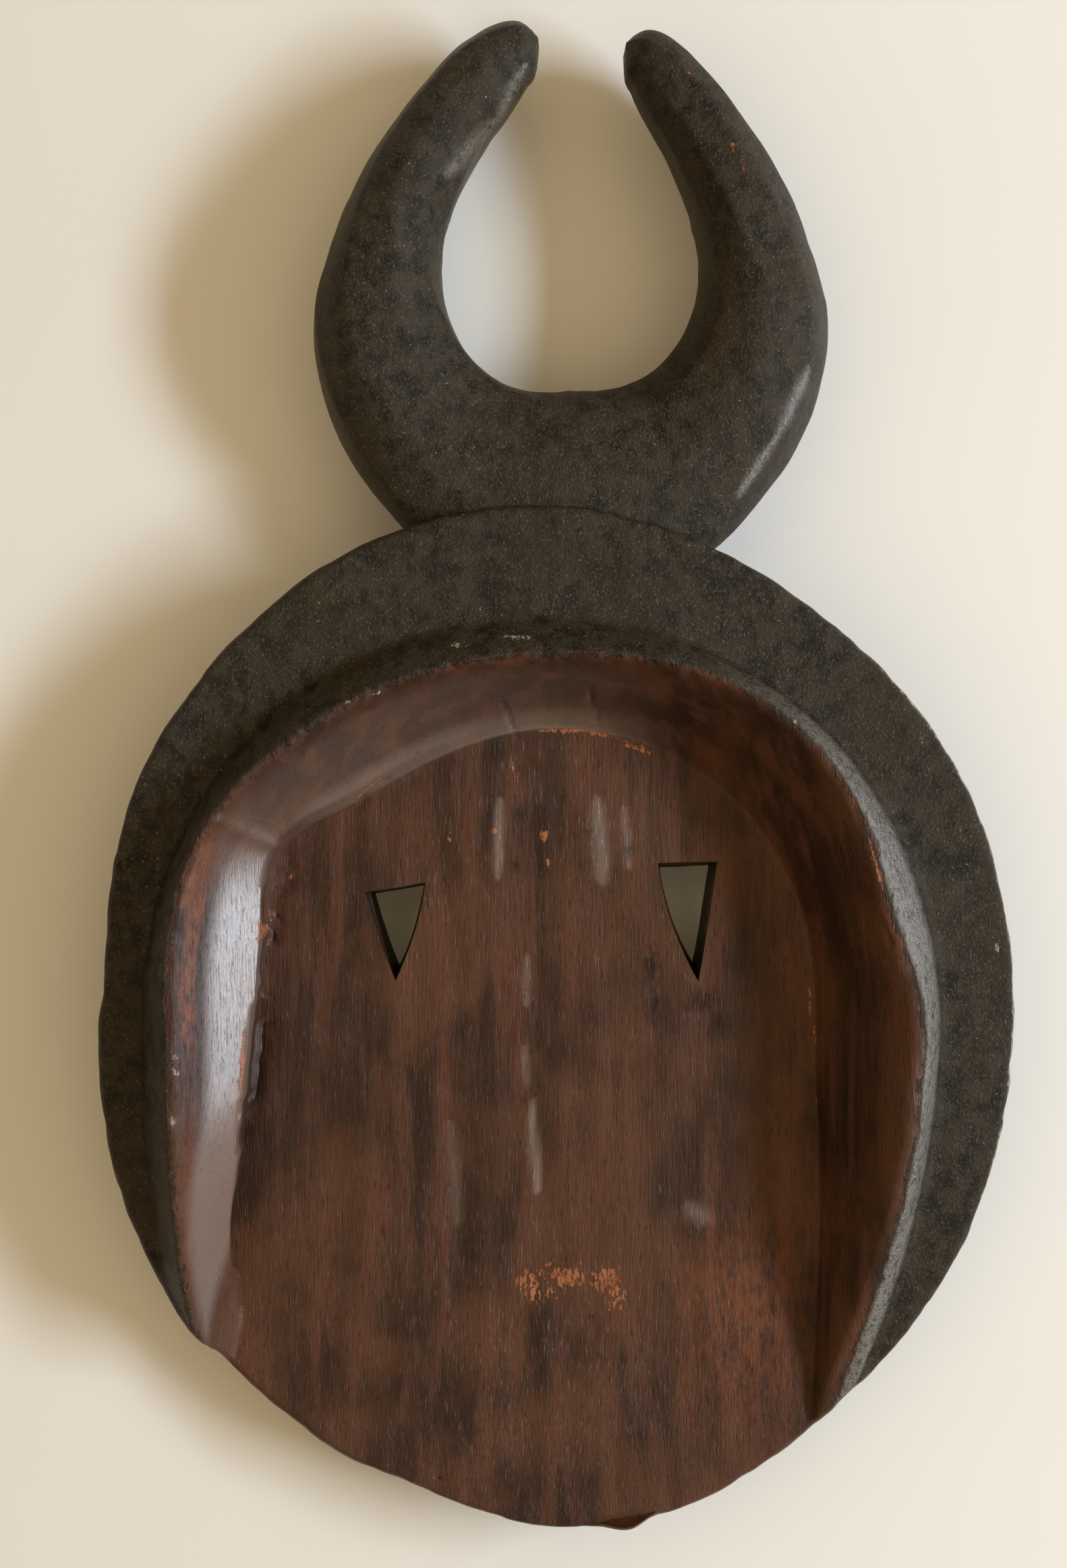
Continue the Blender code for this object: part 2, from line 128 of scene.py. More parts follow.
CREST_WAVER = (
    (0, 0.0015), (21, -0.0035), (38, 0.0), (53, 0.002), (95, -0.001), (131, -0.002), (150, 0.0012),
    (195, -0.0018), (222, 0.001), (306, -0.001), (345, 0.0015),
)
FLOOR_WAVER = (
    (0, -0.0025), (25, -0.0012), (55, 0.0006), (90, 0.0006), (132, -0.0022), (149, 0.0045),
    (163, -0.0030), (188, -0.0040), (203, 0.0), (215, 0.0040), (231, -0.002), (313, 0.002),
)
# The left slope's long facets, steep at the foot: share of the slope's width, share of the wall's height
SLOPE_FACETS_LEFT = ((-1, -3.9), (0, 0), (0.15, 0.58), (0.46, 0.71), (0.73, 0.83), (1, 1), (2, 1.6))

# Eye holes: side, height of the base, drop to the apex, tilt of the base, apex off-centre, side bulges
EYE_SPACING = 0.0832
EYE_MIDDLE = -0.0040
EYE_WIDTH = 0.0170
EYE_FRONT_SHARE = 0.80
EYE_HOLES_MIDDLE = 0.03
EYE_HOLES_REACH = 0.03
EYES = (
    (-1, 0.0368, 0.0268, 0.0027, 0.0, 0.0004, 0.0012),
    (1, 0.0440, 0.0340, 0.0006, 0.0030, 0.0019, 0.0002),
)

# Front: teardrop lobes and box mouth
LOBE_WIDTH = 0.044
LOBE_LENGTH = 0.092
LOBE_TOP = 0.062
LOBE_LEAN = 0.012
LOBE_SHOULDER = 0.005
LOBE_POINTEDNESS = 1.2
MOUTH_WIDTH = 0.058
MOUTH_HEIGHT = 0.026
MOUTH_DROP = 0.084
MOUTH_STROKES = 5
MOUTH_STROKE_WIDTH = 0.0022
MOUTH_STROKE_HEIGHT = 0.016
MOUTH_STROKE_DEPTH = 0.003
MOUTH_SHOULDER = 0.002
ROOT_DEPTH = 0.0022

# Horns
GAP_RADIUS = 0.0365
GAP_CENTRE_SHIFT = 0.0040
GAP_CENTRE_RISE = 0.2145
LEFT_TIP_ANGLE = 171.6
RIGHT_TIP_ANGLE = 165.3
HORN_THICKNESS = 0.042
HORN_STEP = 0.002
HORN_SQUARENESS = 2.3
TIP_FLARE = ((0, 0.0240), (1.0, 0.0203), (5.5, 0.0146), (14, 0.0090), (25, 0.0052), (37, 0.0023), (60, 0.0))
TIP_ROUND = ((0, 0.0066), (1.5, 0.0036), (3, 0.0018), (6, 0.0004), (10, 0.0))
TIP_TAPER = ((0, 0.25), (2.5, 0.38), (8, 0.53), (25, 0.72), (50, 0.87), (80, 0.97), (110, 1.0), (140, 1.0))
HORN_SWELL = ((0, 0.0), (28, 0.0), (45, 0.3), (70, 0.85), (90, 1.0), (180, 1.0))
GAP_WAVER = ((0, 0.0003), (34, 0.0024), (65, 0.0009), (95, -0.0004), (180, -0.0004))
HORN_WIDTHS = (
    (0, 0.058), (15, 0.0575), (27, 0.0550), (37, 0.0510), (47, 0.0480), (60, 0.0440), (75, 0.0391),
    (92, 0.0315), (106, 0.0280), (122, 0.0264), (139, 0.0278), (157, 0.0324), (165, 0.0333),
    (172, 0.0333),
)
HORN_FACETS = 9
HORN_CROWDING = 0.12

# Fineness of the mesh
BACK_RINGS = 112
FRONT_RINGS = 56
RIM_RINGS = 7
HORN_STATIONS = 250
HORN_SIDES = 96
CUT_CLEARANCE = 0.003
HALVINGS = 40
# Shares of the back's rings that end at the floor's edge, at the top of the slope's steep foot, at the crest
# and at the wall's foot, and how far out towards the rim each of the four may run
RING_SHARES = (0.50, 0.58, 0.77, 0.87)
LINE_LIMITS = (0.86, 0.87, 0.93, 0.965)
STEEP_SHARE = 0.15
UNDERCUT = 0.0052
UNDERCUT_RING = 0.43

# Marks on the hollow and the wall, in millimetres from the disc's centre: start, end, half width, depth
CUTS = (
    ((-15.2, 90.1), (-11.4, 79.9), 0.5, 0.7),
    ((9.0, 93.5), (10.6, 86.5), 0.6, 0.6),
    ((12.0, 87.5), (10.8, 82.8), 0.5, 0.5),
    ((-15.1, 76.4), (-15.9, 43.4), 0.5, 0.35),
    ((12.5, 64.5), (16.1, 40.0), 0.5, 0.4),
    ((-56.0, 61.4), (-47.4, 67.9), 0.6, 1.0),
    ((-78.0, 42.0), (-80.6, 20.7), 1.0, 1.1),
    ((-75.5, 45.5), (-76.0, 36.0), 0.5, 1.2),
    ((-82.4, 6.0), (-85.4, -24.5), 1.5, 1.3),
    ((-86.5, -21.0), (-88.0, -36.0), 0.5, 1.2),
    ((-67.5, -1.8), (-66.4, -3.4), 0.7, 0.8),
    ((-57.8, -4.8), (-56.4, -6.8), 0.7, 0.9),
    ((-7.3, -23.4), (-4.6, -51.0), 0.9, 0.5),
    ((-39.3, -130.9), (-39.2, -130.8), 0.6, 1.2),
    ((-33.2, -129.1), (-33.1, -129.0), 0.5, 1.0),
    ((85.2, 51.2), (89.7, 37.4), 0.8, 0.5),
    ((87.5, 30.0), (91.0, 22.0), 0.5, 0.8),
    ((-104.0, 33.0), (-96.5, 51.0), 0.6, 0.5),
    ((-106.0, 8.0), (-104.6, 18.0), 0.5, 0.4),
    ((31.0, -20.0), (34.5, -57.0), 0.5, 0.2),
    ((-28.0, 20.0), (-27.0, -14.0), 0.5, 0.2),
)

# Raw wood in chips, in the same millimetres: middle, half width, half height, strength
RAW_SPOTS = (
    ((-7.0, -75.0), 7, 5, 0.75), ((3.0, -74.0), 8, 5, 0.85), ((14.5, -74.5), 6, 5, 0.9),
    ((17.5, -80.0), 4, 5, 0.75), ((-4.0, -79.0), 8, 4, 0.7), ((-2.5, -70.0), 5, 5, 0.55),
    ((-30.5, 51.5), 1.6, 2.2, 0.75), ((-17.5, 52.5), 3.0, 1.6, 0.7), ((-3.0, 51.5), 2.4, 2.2, 0.85),
    ((-2.0, 43.5), 1.5, 2.6, 0.75), ((-1.0, 40.0), 1.5, 2.0, 0.5), ((-20.0, 23.5), 1.8, 2.0, 0.5),
    ((-13.5, 68.0), 1.0, 1.4, 0.6), ((47.5, 133.4), 2.5, 1.6, 0.9), ((52.5, 131.0), 3.0, 1.5, 0.7),
    ((77.5, -121.0), 5.0, 2.4, 0.95), ((83.5, -113.5), 2.4, 3.0, 0.7),
    ((49.1, 242.0), 2.4, 3.4, 0.62), ((51.5, 236.0), 2.0, 2.4, 0.55), ((57.6, 223.0), 2.2, 4.4, 0.6),
    ((57.0, 213.0), 2.4, 3.4, 0.5), ((36.0, 263.5), 3.5, 2.5, 0.5), ((-37.5, 187.0), 1.6, 1.8, 0.5),
)
# Raw wood along edges and splinters: start, end, half width, strength
RAW_STROKES = (
    ((-4.6, 81.3), (8.1, 81.5), 0.9, 0.9), ((8.1, 81.5), (16.7, 79.2), 0.9, 0.95),
    ((16.7, 79.2), (27.1, 75.2), 1.2, 1.0), ((71.6, 10.2), (74.0, -7.7), 0.7, 0.9),
    ((72.5, -8.0), (74.5, -30.0), 0.7, 0.6), ((-56.0, 62.4), (-47.4, 68.9), 0.8, 1.0),
    ((-81.0, 33.0), (-82.6, 22.0), 0.7, 0.9), ((-85.6, 1.0), (-87.0, -18.0), 0.9, 1.0),
    ((-75.0, 43.0), (-75.5, 38.0), 0.8, 0.8), ((84.2, 51.6), (88.6, 37.0), 0.7, 0.9),
    ((82.0, 48.0), (84.0, 40.0), 0.7, 0.6), ((-12.5, 74.0), (-11.0, 66.0), 0.9, 0.75),
)
# Dark blots in the hollow
STAIN_SPOTS = (
    ((27.0, 14.0), 3.2, 6.0, 0.9), ((28.5, 3.0), 4.0, 5.0, 0.8), ((42.0, 4.5), 5.0, 3.4, 0.9),
    ((48.0, -2.0), 4.0, 4.5, 0.7), ((-10.5, 57.5), 1.3, 1.8, 0.9), ((-11.5, 43.0), 1.2, 1.6, 0.8),
    ((9.5, 52.5), 1.0, 1.2, 0.8), ((9.3, 44.0), 1.2, 1.4, 0.7), ((21.0, 47.5), 1.6, 1.8, 0.8),
    ((-70.0, 40.0), 3.5, 7.0, 0.5), ((-76.0, -30.0), 3.0, 24.0, 0.45), ((8.0, -35.0), 3.0, 9.0, 0.35),
)
# Pale dry flecks, on the back and then also over its edge
FLECK_SPOTS = (
    ((-49.5, 91.0), 3.5, 1.3, 0.9), ((-55.5, 88.5), 3.0, 1.2, 0.9), ((-27.0, 104.0), 4.0, 1.2, 0.9),
    ((-10.0, 106.0), 8.0, 1.3, 0.9), ((64.5, 83.0), 2.0, 1.2, 0.9), ((-103.0, -10.0), 1.6, 5.0, 0.9),
    ((-103.5, -25.0), 1.4, 3.0, 0.9),
)
EDGE_FLECK_SPOTS = (((121.5, 21.5), 1.5, 4.0, 0.95), ((-43.7, 130.0), 4.5, 3.5, 0.55))
# Grey scrapes along the grain
SCUFF_STROKES = (
    ((-15.6, 62.0), (-16.4, 40.0), 1.6, 0.9), ((11.8, 62.0), (13.5, 38.0), 2.8, 0.75),
    ((19.5, 60.0), (21.0, 42.0), 1.4, 0.6), ((-7.0, -24.0), (-4.8, -50.0), 1.2, 1.0),
    ((-8.0, 18.0), (-8.5, 3.0), 1.2, 0.6), ((-9.0, -8.0), (-8.5, -20.0), 1.2, 0.6),
    ((37.0, -54.0), (44.0, -58.0), 3.0, 0.6), ((-30.0, -30.0), (-28.0, -60.0), 2.0, 0.35),
)
# Painted highlights: pale grey along the horns' ridges where the window's light catches them, and how much
# wider and stronger their polish is
HORN_HIGHLIGHT_STROKES = (
    ((-8.5, 267.5), (-17.0, 252.0), 1.1, 0.9), ((-17.5, 252.0), (-30.5, 235.0), 1.5, 0.9),
    ((70.0, 181.0), (61.5, 163.0), 1.3, 0.9), ((61.0, 162.0), (51.0, 147.0), 1.1, 0.9),
)
POLISH_WIDENING = 3
POLISH_STRENGTH = 1.6
HORN_POLISH = 0.6
# The scratch of raw rubbed wood on the left slope, and the ridge where its facets begin
RUB_STROKE = ((-101.5, 33.0), (-94.0, 50.0), 1.6, 0.8)
SLOPE_RIDGE = ((-92.5, 56.5), (-78.0, 49.0), 2.2, 0.0007)
# Rubbed patch at the lower right of the floor
RUB_SPOT = ((54.0, -84.0), 17, 30, 0.6)
# Where the pale pores are open: middle, half width, half height, strength
FIBRE_SPOTS = (((-4.0, 72.0), 13, 9, 0.9), ((-33.0, 45.0), 12, 22, 0.4))
FIBRE_PATCH = ((-5.0, -90.0), 45, 45, 0.45)
FIBRE_LEAST = 0.05

# Zones of the finish, of the painted glare on the left slope and of the paler grey on the coves:
# degrees round the disc, or shares of the slope's width, where each rises and falls
RUB_SLOPE = (0.70, 0.78, 0.84, 0.92)
RUB_ANGLES = (154, 162, 208, 218)
RUB_FADE = (178, 186)
GLARE_SLOPE = (0.02, 0.12, 0.50, 0.72)
GLARE_ANGLES = (138, 160, 228, 236)
GLARE_WIDENING = 0.26
GLARE_WIDENS = (190, 212)
LIP_DEPTH = (0.007, 0.011)
COVE_PALER_SLOPE = (0.0, 0.1, 0.75, 1.0)
COVE_PALER_ANGLES = (62, 92, 150, 162)
COVE_EDGE_SLOPE = (0.0, 0.05, 0.15, 0.50)
COVE_EDGE_ANGLES = (60, 90, 136, 150)
FOOT_DUST_ANGLES = (25, 60, 135, 165)
RIM_DUST_ANGLES = (62, 72, 116, 122)
UNDERCUT_ANGLES = (146, 158, 216, 230)

# The finish changes at lines of the wall: how far over the crest the brown reaches and how gently it ends
STAIN_OFFSET = 0.0042
STAIN_BLEND = 0.010
# Painted highlight: pale grey on the wall's outer face on the right, which faces the window; the share of that
# face from the crest that it covers, and the cosines over which it rises towards the right
HIGHLIGHT_SHARE = 0.78
HIGHLIGHT_RIGHT = (0.25, 0.80)
# Dust along the wall's foot and the rim, and the rim's worn edge
LINE_DUST = 0.62
RIM_WEAR_WIDTH = 0.0016
RIM_WEAR_REACH = 0.004

# Wood patterns: cell sizes in millimetres along X, Y and Z, then detail, roughness and distortion
PATTERNS = {
    "grain": ((0.55, 9.0, 0.55), 3.0, 0.6, 0.0),
    "streaks": ((0.5, 5.5, 0.5), 1.0, 0.5, 0.0),
    "pores": ((0.40, 4.0, 0.40), 1.0, 0.4, 0.0),
    "bands": ((7.0, 70.0, 7.0), 3.0, 0.55, 0.3),
    "clouds": ((26.0, 38.0, 26.0), 3.0, 0.55, 0.0),
    "mottle": ((4.5, 5.5, 4.5), 4.0, 0.65, 0.0),
    "grit": ((0.7, 0.9, 0.7), 3.0, 0.7, 0.0),
    "specks": ((0.7, 0.8, 0.7), 2.0, 0.5, 0.0),
    "edges": ((1.6, 5.0, 2.0), 4.0, 0.65, 0.0),
    "flakes": ((1.1, 2.6, 1.1), 4.0, 0.7, 0.0),
}
# Finishes laid over each other: colour, strength, field, then each pattern with the values where it sets in
HOLLOW_LAYERS = (
    ("brown", 1.0, None, ("clouds", 0.36, 0.66)),
    ("red_brown", 0.65, None, ("bands", 0.42, 0.70)),
    ("dark_brown", 0.38, None, ("grain", 0.52, 0.72)),
    # Grey of the scrapes, which also paints the glare of the window on the left slope and a paler grey over
    # the coves
    ("scuff_and_glare_grey", 0.58, "scuffs_and_painted_glare_share"),
    ("rubbed", 0.80, "rub", ("edges", 0.34, 0.60)),
    ("pore", 0.55, "fibre", ("streaks", 0.635, 0.70)),
    ("deep", 0.50, "away_from_glare_and_scuffs", ("pores", 0.64, 0.70)),
    # Dark blots, and painted shade on the walls of the eye holes
    ("deep", 1.0, "stain", ("flakes", 0.30, 0.52)),
)
# Scuffs and painted glare: the patterns that break up the glare, the paler coves and the scuffs, and a faint
# share of scuffs along the grain elsewhere
GLARE_AND_SCUFF_BREAKUP = (("edges", 0.16, 0.42),)
FAINT_SCUFF_SHARE = 0.14
FAINT_SCUFF = (("bands", 0.30, 0.62), ("grain", 0.35, 0.60))
OUTSIDE_LAYERS = (
    ("grey_stain", 1.0, None, ("mottle", 0.34, 0.62)),
    ("warm_stain", 0.60, None, ("clouds", 0.42, 0.66)),
    ("dust", 0.55, None, ("grit", 0.54, 0.68)),
    ("pale_chip", 1.0, None, ("specks", 0.735, 0.77)),
    # Painted highlight: pale grey where the window's light catches the wall's right outer face and the horns'
    # ridges
    ("painted_highlight_grey", 0.80, "worn", ("flakes", 0.38, 0.54)),
)
# Fields with a ragged edge: pattern, its middle, how far it shifts the edge, and where the edge sets in
RAGGED_EDGES = {
    "hollow": ("edges", 0.5, 0.9, 0.28, 0.46),
    "dust": ("flakes", 0.5, 1.8, 0.72, 0.90),
    "raw": ("flakes", 0.62, 2.2, 0.34, 0.44),
}
RAW_GRAIN = (0.40, 0.62)
DUST_COVER = 0.8
OPEN_PORES = (0.62, 0.72)
RELIEF_DEPTH = 0.00055
WOOD_IOR = 1.5

# Light and room, as linear red, green and blue
WINDOW_COLOUR = (0.74, 0.86, 1.0)
ROOM_COLOUR = (1.0, 0.77, 0.46, 1.0)
# Upward part of the view direction between which the walls brighten, and over which the light is shaded
WALLS_BRIGHTEN = (0.15, 0.80)
OVERHEAD_SHADE = (0.925, 0.975)

# Floor and camera
FLOOR_HALF = 3.0
FLOOR_CLOUDS = 9.0
FLOOR_DARKER = 0.95
CAMERA_ASIDE = (-0.00605, -0.0030)
SENSOR_HEIGHT = 36.0
LENS_LENGTH = 49.97


def smooth_curve(place, knots, period=None):
    """Cubic curve through the knots, with each knot's slope taken from its two neighbours."""
    x = np.array([k[0] for k in knots], float)
    y = np.array([k[1] for k in knots], float)
    place = np.asarray(place, float)
    if period:
        place = (place - x[0]) % period + x[0]
        x = np.concatenate(([x[-1] - period], x, [x[0] + period, x[1] + period]))
        y = np.concatenate(([y[-1]], y, [y[0], y[1]]))
    slope = np.gradient(y, x)
    place = np.clip(place, x[0], x[-1])
    i = np.clip(np.searchsorted(x, place, side="right") - 1, 0, len(x) - 2)
    step = x[i + 1] - x[i]
    t = (place - x[i]) / step
    return (y[i] * (1 + 2 * t) * (1 - t) ** 2 + slope[i] * step * t * (1 - t) ** 2
            + y[i + 1] * t * t * (3 - 2 * t) + slope[i + 1] * step * t * t * (t - 1))


def ramp(value, low, high):
    """Smooth step: 0 below low, 1 above high, with a level start and end."""
    t = np.clip((value - low) / (high - low), 0, 1)
    return t * t * (3 - 2 * t)


def band(value, limits):
    """Smooth band: rises between the first two limits and falls between the last two."""
    rise, full, fall, end = limits
    return ramp(value, rise, full) * (1 - ramp(value, fall, end))


def smooth_max(a, b, width):
    """The larger of two heights, rounded over the width where they meet."""
    blend = np.clip(0.5 + 0.5 * (a - b) / width, 0, 1)
    return b + (a - b) * blend + width * blend * (1 - blend)


def smooth_min(a, b, width):
    """The smaller of two heights, rounded over the width where they meet."""
    return -smooth_max(-a, -b, width)


def noise(points, size, seed):
    """Value noise from -1 to 1: hashed numbers on a lattice of the given cell size, smoothly blended."""
    place = points / np.asarray(size, float)
    cell = np.floor(place).astype(np.int64)
    part = place - cell
    part = part * part * (3 - 2 * part)
    total = np.zeros(len(points))
    for corner in range(8):
        offset = np.array((corner & 1, corner >> 1 & 1, corner >> 2 & 1))
        x, y, z = (cell + offset).T
        key = (x * 73856093) ^ (y * 19349663) ^ (z * 83492791) ^ (seed * 2654435761)
        key = ((key ^ (key >> 13)) * 1274126177) & 0xFFFFFFFF
        key = ((key ^ (key >> 15)) * 2246822519) & 0xFFFFFFFF
        weight = np.where(offset, part, 1 - part).prod(axis=1)
        total += weight * (key / 0x7FFFFFFF - 1)
    return total


def rim_radius(angle):
    """Radius of the disc's rim: an oval with the hand-cut waver."""
    oval = 1 / np.hypot(np.cos(angle) / DISC_HALF_WIDTH, np.sin(angle) / DISC_HALF_HEIGHT)
    return oval * smooth_curve(np.degrees(angle), RIM_WAVER, 360)


def horseshoe_radius(angle, inset_side, inset_top, reach, squareness):
    """Distance from the disc's centre to a line of the wall: an oval above, drawn in over the reach below."""
    right = DISC_HALF_WIDTH - FLANGE_RIGHT - inset_side
    left = FLANGE_LEFT + inset_side - DISC_HALF_WIDTH
    top = DISC_HALF_HEIGHT - FLANGE_TOP - inset_top
    half, middle = (right - left) / 2, (right + left) / 2
    low, high = np.zeros_like(angle), np.full_like(angle, 2 * DISC_HALF_HEIGHT)
    for _ in range(HALVINGS):
        radius = (low + high) / 2
        u, v = radius * np.cos(angle), radius * np.sin(angle)
        across = np.abs(u - middle - WALL_LEAN * np.minimum(v, 0)) / half
        along = np.abs(v) / np.where(v > 0, top, reach)
        power = np.where(v > 0, squareness, 2)
        outside = across ** power + along ** power > 1
        high = np.where(outside, radius, high)
        low = np.where(outside, low, radius)
    return radius


def wall_lines(angle):
    """Radii of the floor's edge, of the crest and of the wall's foot on the flange, in that order."""
    degrees = np.degrees(angle)
    side, top = OUTER_FACE_SIDE + SLOPE_SIDE, OUTER_FACE_TOP + SLOPE_TOP
    foot = horseshoe_radius(angle, 0, 0, FOOT_REACH, FOOT_SQUARENESS)
    crest = horseshoe_radius(angle, OUTER_FACE_SIDE, OUTER_FACE_TOP, CREST_REACH, CREST_SQUARENESS)
    floor = horseshoe_radius(angle, side, top, FLOOR_REACH, FLOOR_SQUARENESS)
    crest = crest + smooth_curve(degrees, CREST_WAVER, 360)
    floor = floor + smooth_curve(degrees, FLOOR_WAVER, 360)
    crest = np.maximum(crest, floor + LEAST_SLOPE)
    return floor, crest, np.maximum(foot, crest + LEAST_OUTER_FACE)


def floor_height(v):
    """Height of the hollow's floor, which lifts as a square towards the chin's edge."""
    share = np.clip((-v - CHIN_LIFT_START) / (DISC_HALF_HEIGHT - CHIN_LIFT_START), 0, None)
    return FLOOR_HEIGHT + CHIN_LIFT * share ** 2


def leftness(angle):
    """1 on the disc's left, falling as a squared cosine to 0 at the top and the bottom."""
    return np.clip(-np.cos(angle), 0, 1) ** 2


def fall_share(v):
    """Smooth step from 0 below the disc's centre to 1 as far above its lower edge, for the fall there."""
    return ramp(-v, FALL_START, DISC_HALF_HEIGHT - FALL_START)


def crest_height(v, angle):
    """Height of the wall's crest, which falls towards the two ends of the horseshoe."""
    return CREST_HEIGHT + CREST_LIFT_LEFT * leftness(angle) - WALL_FALL * fall_share(v)


def slope_height(share, angle, floor, top):
    """Height of the inner slope at a share of its width: facets left, round right, a cove on top."""
    left = np.clip(0.5 - np.cos(angle), 0, 1)
    up = np.clip(np.sin(angle), 0, 1) ** 2
    places, rises = zip(*SLOPE_FACETS_LEFT)
    faceted = top - (1 - np.interp(share, places, rises)) * FACETED_WALL
    rounded = floor + (top - floor) * (1 - np.sign(1 - share) * np.abs(1 - share) ** SLOPE_ROUND_RIGHT)
    cove = floor + (top - floor) * np.sign(share) * np.abs(share) ** SLOPE_COVE_TOP
    return (rounded + (faceted - rounded) * left) * (1 - up) + cove * up


def back_height(radius, angle, lines):
    """Height of the mask's back: floor, inner slope, crest, outer face and flange in one profile."""
    floor_edge, crest, foot = lines
    v = radius * np.sin(angle)
    floor, top = floor_height(v), crest_height(v, angle)
    flange = BACK_HEIGHT - FLANGE_DROP_LEFT * leftness(angle) - FLANGE_FALL * fall_share(v)
    share = (radius - floor_edge) / (crest - floor_edge)
    inner = slope_height(share, angle, floor, top)
    out = (radius - crest) / (foot - crest)
    outer = top - (top - flange) * np.sign(out) * np.abs(out) ** OUTER_FACE_ROUND
    wall = smooth_min(inner, smooth_max(outer, flange, FOOT_ROUNDING), CREST_ROUNDING)
    return smooth_max(floor, wall, FLOOR_ROUNDING)


def front_height(radius, angle):
    """Height of the mask's front: flat in the middle, curling up to the rim's front edge."""
    rim = rim_radius(angle)
    edge = RIM_FRONT_HEIGHT - FRONT_FALL * fall_share(rim * np.sin(angle))
    return FACE_HEIGHT + (edge - FACE_HEIGHT) * (radius / rim) ** FRONT_CURL


def square_rings(count):
    """Grid of square rings pulled round: each point's ring and angle, the triangles and the outer ring."""
    line = np.arange(-count, count + 1)
    i, j = np.meshgrid(line, line, indexing="ij")
    ring = np.maximum(np.abs(i), np.abs(j))
    safe = np.maximum(ring, 1)
    degrees = np.where(j == -ring, 270 + 45 * i / safe, 0.0)
    degrees = np.where(i == -ring, 180 - 45 * j / safe, degrees)
    degrees = np.where(j == ring, 90 - 45 * i / safe, degrees)
    degrees = np.where((i == ring) & (np.abs(j) < safe), 45 * j / safe, degrees)
    index = np.arange(i.size).reshape(i.shape)
    a, b = index[:-1, :-1].ravel(), index[1:, :-1].ravel()
    c, d = index[1:, 1:].ravel(), index[:-1, 1:].ravel()
    same = ((i[:-1, :-1] + 0.5) * (j[:-1, :-1] + 0.5) > 0).ravel()[:, None]
    first = np.where(same, np.column_stack((a, b, c)), np.column_stack((a, b, d)))
    second = np.where(same, np.column_stack((a, c, d)), np.column_stack((b, c, d)))
    edge = np.concatenate((index[-1, :-1], index[:0:-1, -1], index[0, :0:-1], index[:-1, 0]))
    return ring.ravel() / count, np.radians(degrees.ravel() % 360), np.concatenate((first, second)), edge


def ring_radius(share, rim, lines):
    """Radius of a ring: straight steps from the middle to the wall's lines and on to the rim.

    Where a line would run out over the rim, its rings stay at their greatest share of the rim instead.
    """
    floor_edge, crest, foot = lines
    stops = [np.zeros_like(rim)]
    steep_top = floor_edge + (crest - floor_edge) * STEEP_SHARE
    for line, limit in zip((floor_edge, steep_top, crest, foot), LINE_LIMITS):
        stops.append(np.minimum(line, limit * rim))
    stops.append(rim)
    limits = (0,) + RING_SHARES + (1,)
    radius = np.zeros_like(rim)
    for k in range(len(limits) - 1):
        t = np.clip((share - limits[k]) / (limits[k + 1] - limits[k]), 0, 1)
        inside = (share >= limits[k]) & (share <= limits[k + 1])
        radius = np.where(inside, stops[k] + (stops[k + 1] - stops[k]) * t, radius)
    return radius


def undercut_share(share, angle):
    """How far the floor runs under the left facets: up to 1 at its edge, and 0 at the lip and inwards."""
    edge, lip = RING_SHARES[0], RING_SHARES[1]
    degrees = np.degrees(angle)
    along = band(degrees, UNDERCUT_ANGLES)
    uneven = 0.8 + 0.2 * noise(np.column_stack((degrees, degrees * 0, degrees * 0)), 2.3, 11)
    return along * uneven * ramp(share, UNDERCUT_RING, edge) * np.clip((lip - share) / (lip - edge), 0, 1)


def bridge(upper, lower):
    """Two triangles for each step between two loops of the same count."""
    upper_next, lower_next = np.roll(upper, -1), np.roll(lower, -1)
    return np.concatenate((np.column_stack((upper, lower, lower_next)),
                           np.column_stack((upper, lower_next, upper_next))))


def disc_surface(sizes):
    """Closed disc: back on square rings, rim as a half round top and bottom, front on half as many rings."""
    share, angle, back_faces, back_edge = square_rings(BACK_RINGS)
    rim = rim_radius(angle)
    unit = np.column_stack((np.cos(angle), np.sin(angle), np.zeros_like(angle)))
    rim = rim + sizes.rim_unevenness * noise(unit * 0.13, 0.006, 5)
    lines = wall_lines(angle)
    radius = ring_radius(share, rim - RIM_ROUNDING, lines)
    height = back_height(radius, angle, lines)
    radius = radius + UNDERCUT * undercut_share(share, angle)
    points = [np.column_stack((radius * np.cos(angle), radius * np.sin(angle), height))]
    faces = [back_faces]
    edge_angle, edge_rim, edge_height = angle[back_edge], rim[back_edge], height[back_edge]
    loop, start = back_edge, len(angle)
    step = np.arange(len(back_edge))
    front_lip = front_height(edge_rim, edge_angle)
    rounding = np.minimum(RIM_ROUNDING, (edge_height - front_lip) / 3)
    for k in range(1, RIM_RINGS + 1):
        turn = math.pi * k / (RIM_RINGS + 1)
        out = edge_rim - RIM_ROUNDING * (1 - math.sin(turn))
        upper, lower = edge_height - rounding, front_lip + rounding
        z = (upper + lower) / 2 + (upper - lower) / 2 * np.sign(math.cos(turn)) * abs(math.cos(turn)) ** 0.4
        z = z + rounding * math.cos(turn) ** 3
        points.append(np.column_stack((out * np.cos(edge_angle), out * np.sin(edge_angle), z)))
        lower_loop = start + step
        faces.append(bridge(loop, lower_loop))
        loop, start = lower_loop, start + len(step)
    share, angle, front_faces, front_edge = square_rings(FRONT_RINGS)
    rim = rim_radius(angle)
    radius = (rim - RIM_ROUNDING) * share
    height = front_height(radius, angle)
    points.append(np.column_stack((radius * np.cos(angle), radius * np.sin(angle), height)))
    faces.append(front_faces[:, ::-1] + start)
    coarse, coarse_next = front_edge + start, np.roll(front_edge, -1) + start
    even, odd, even_next = loop[::2], loop[1::2], np.roll(loop[::2], -1)
    faces.append(np.column_stack((even, coarse, odd)))
    faces.append(np.column_stack((odd, coarse, coarse_next)))
    faces.append(np.column_stack((odd, coarse_next, even_next)))
    return np.concatenate(points), np.concatenate(faces)


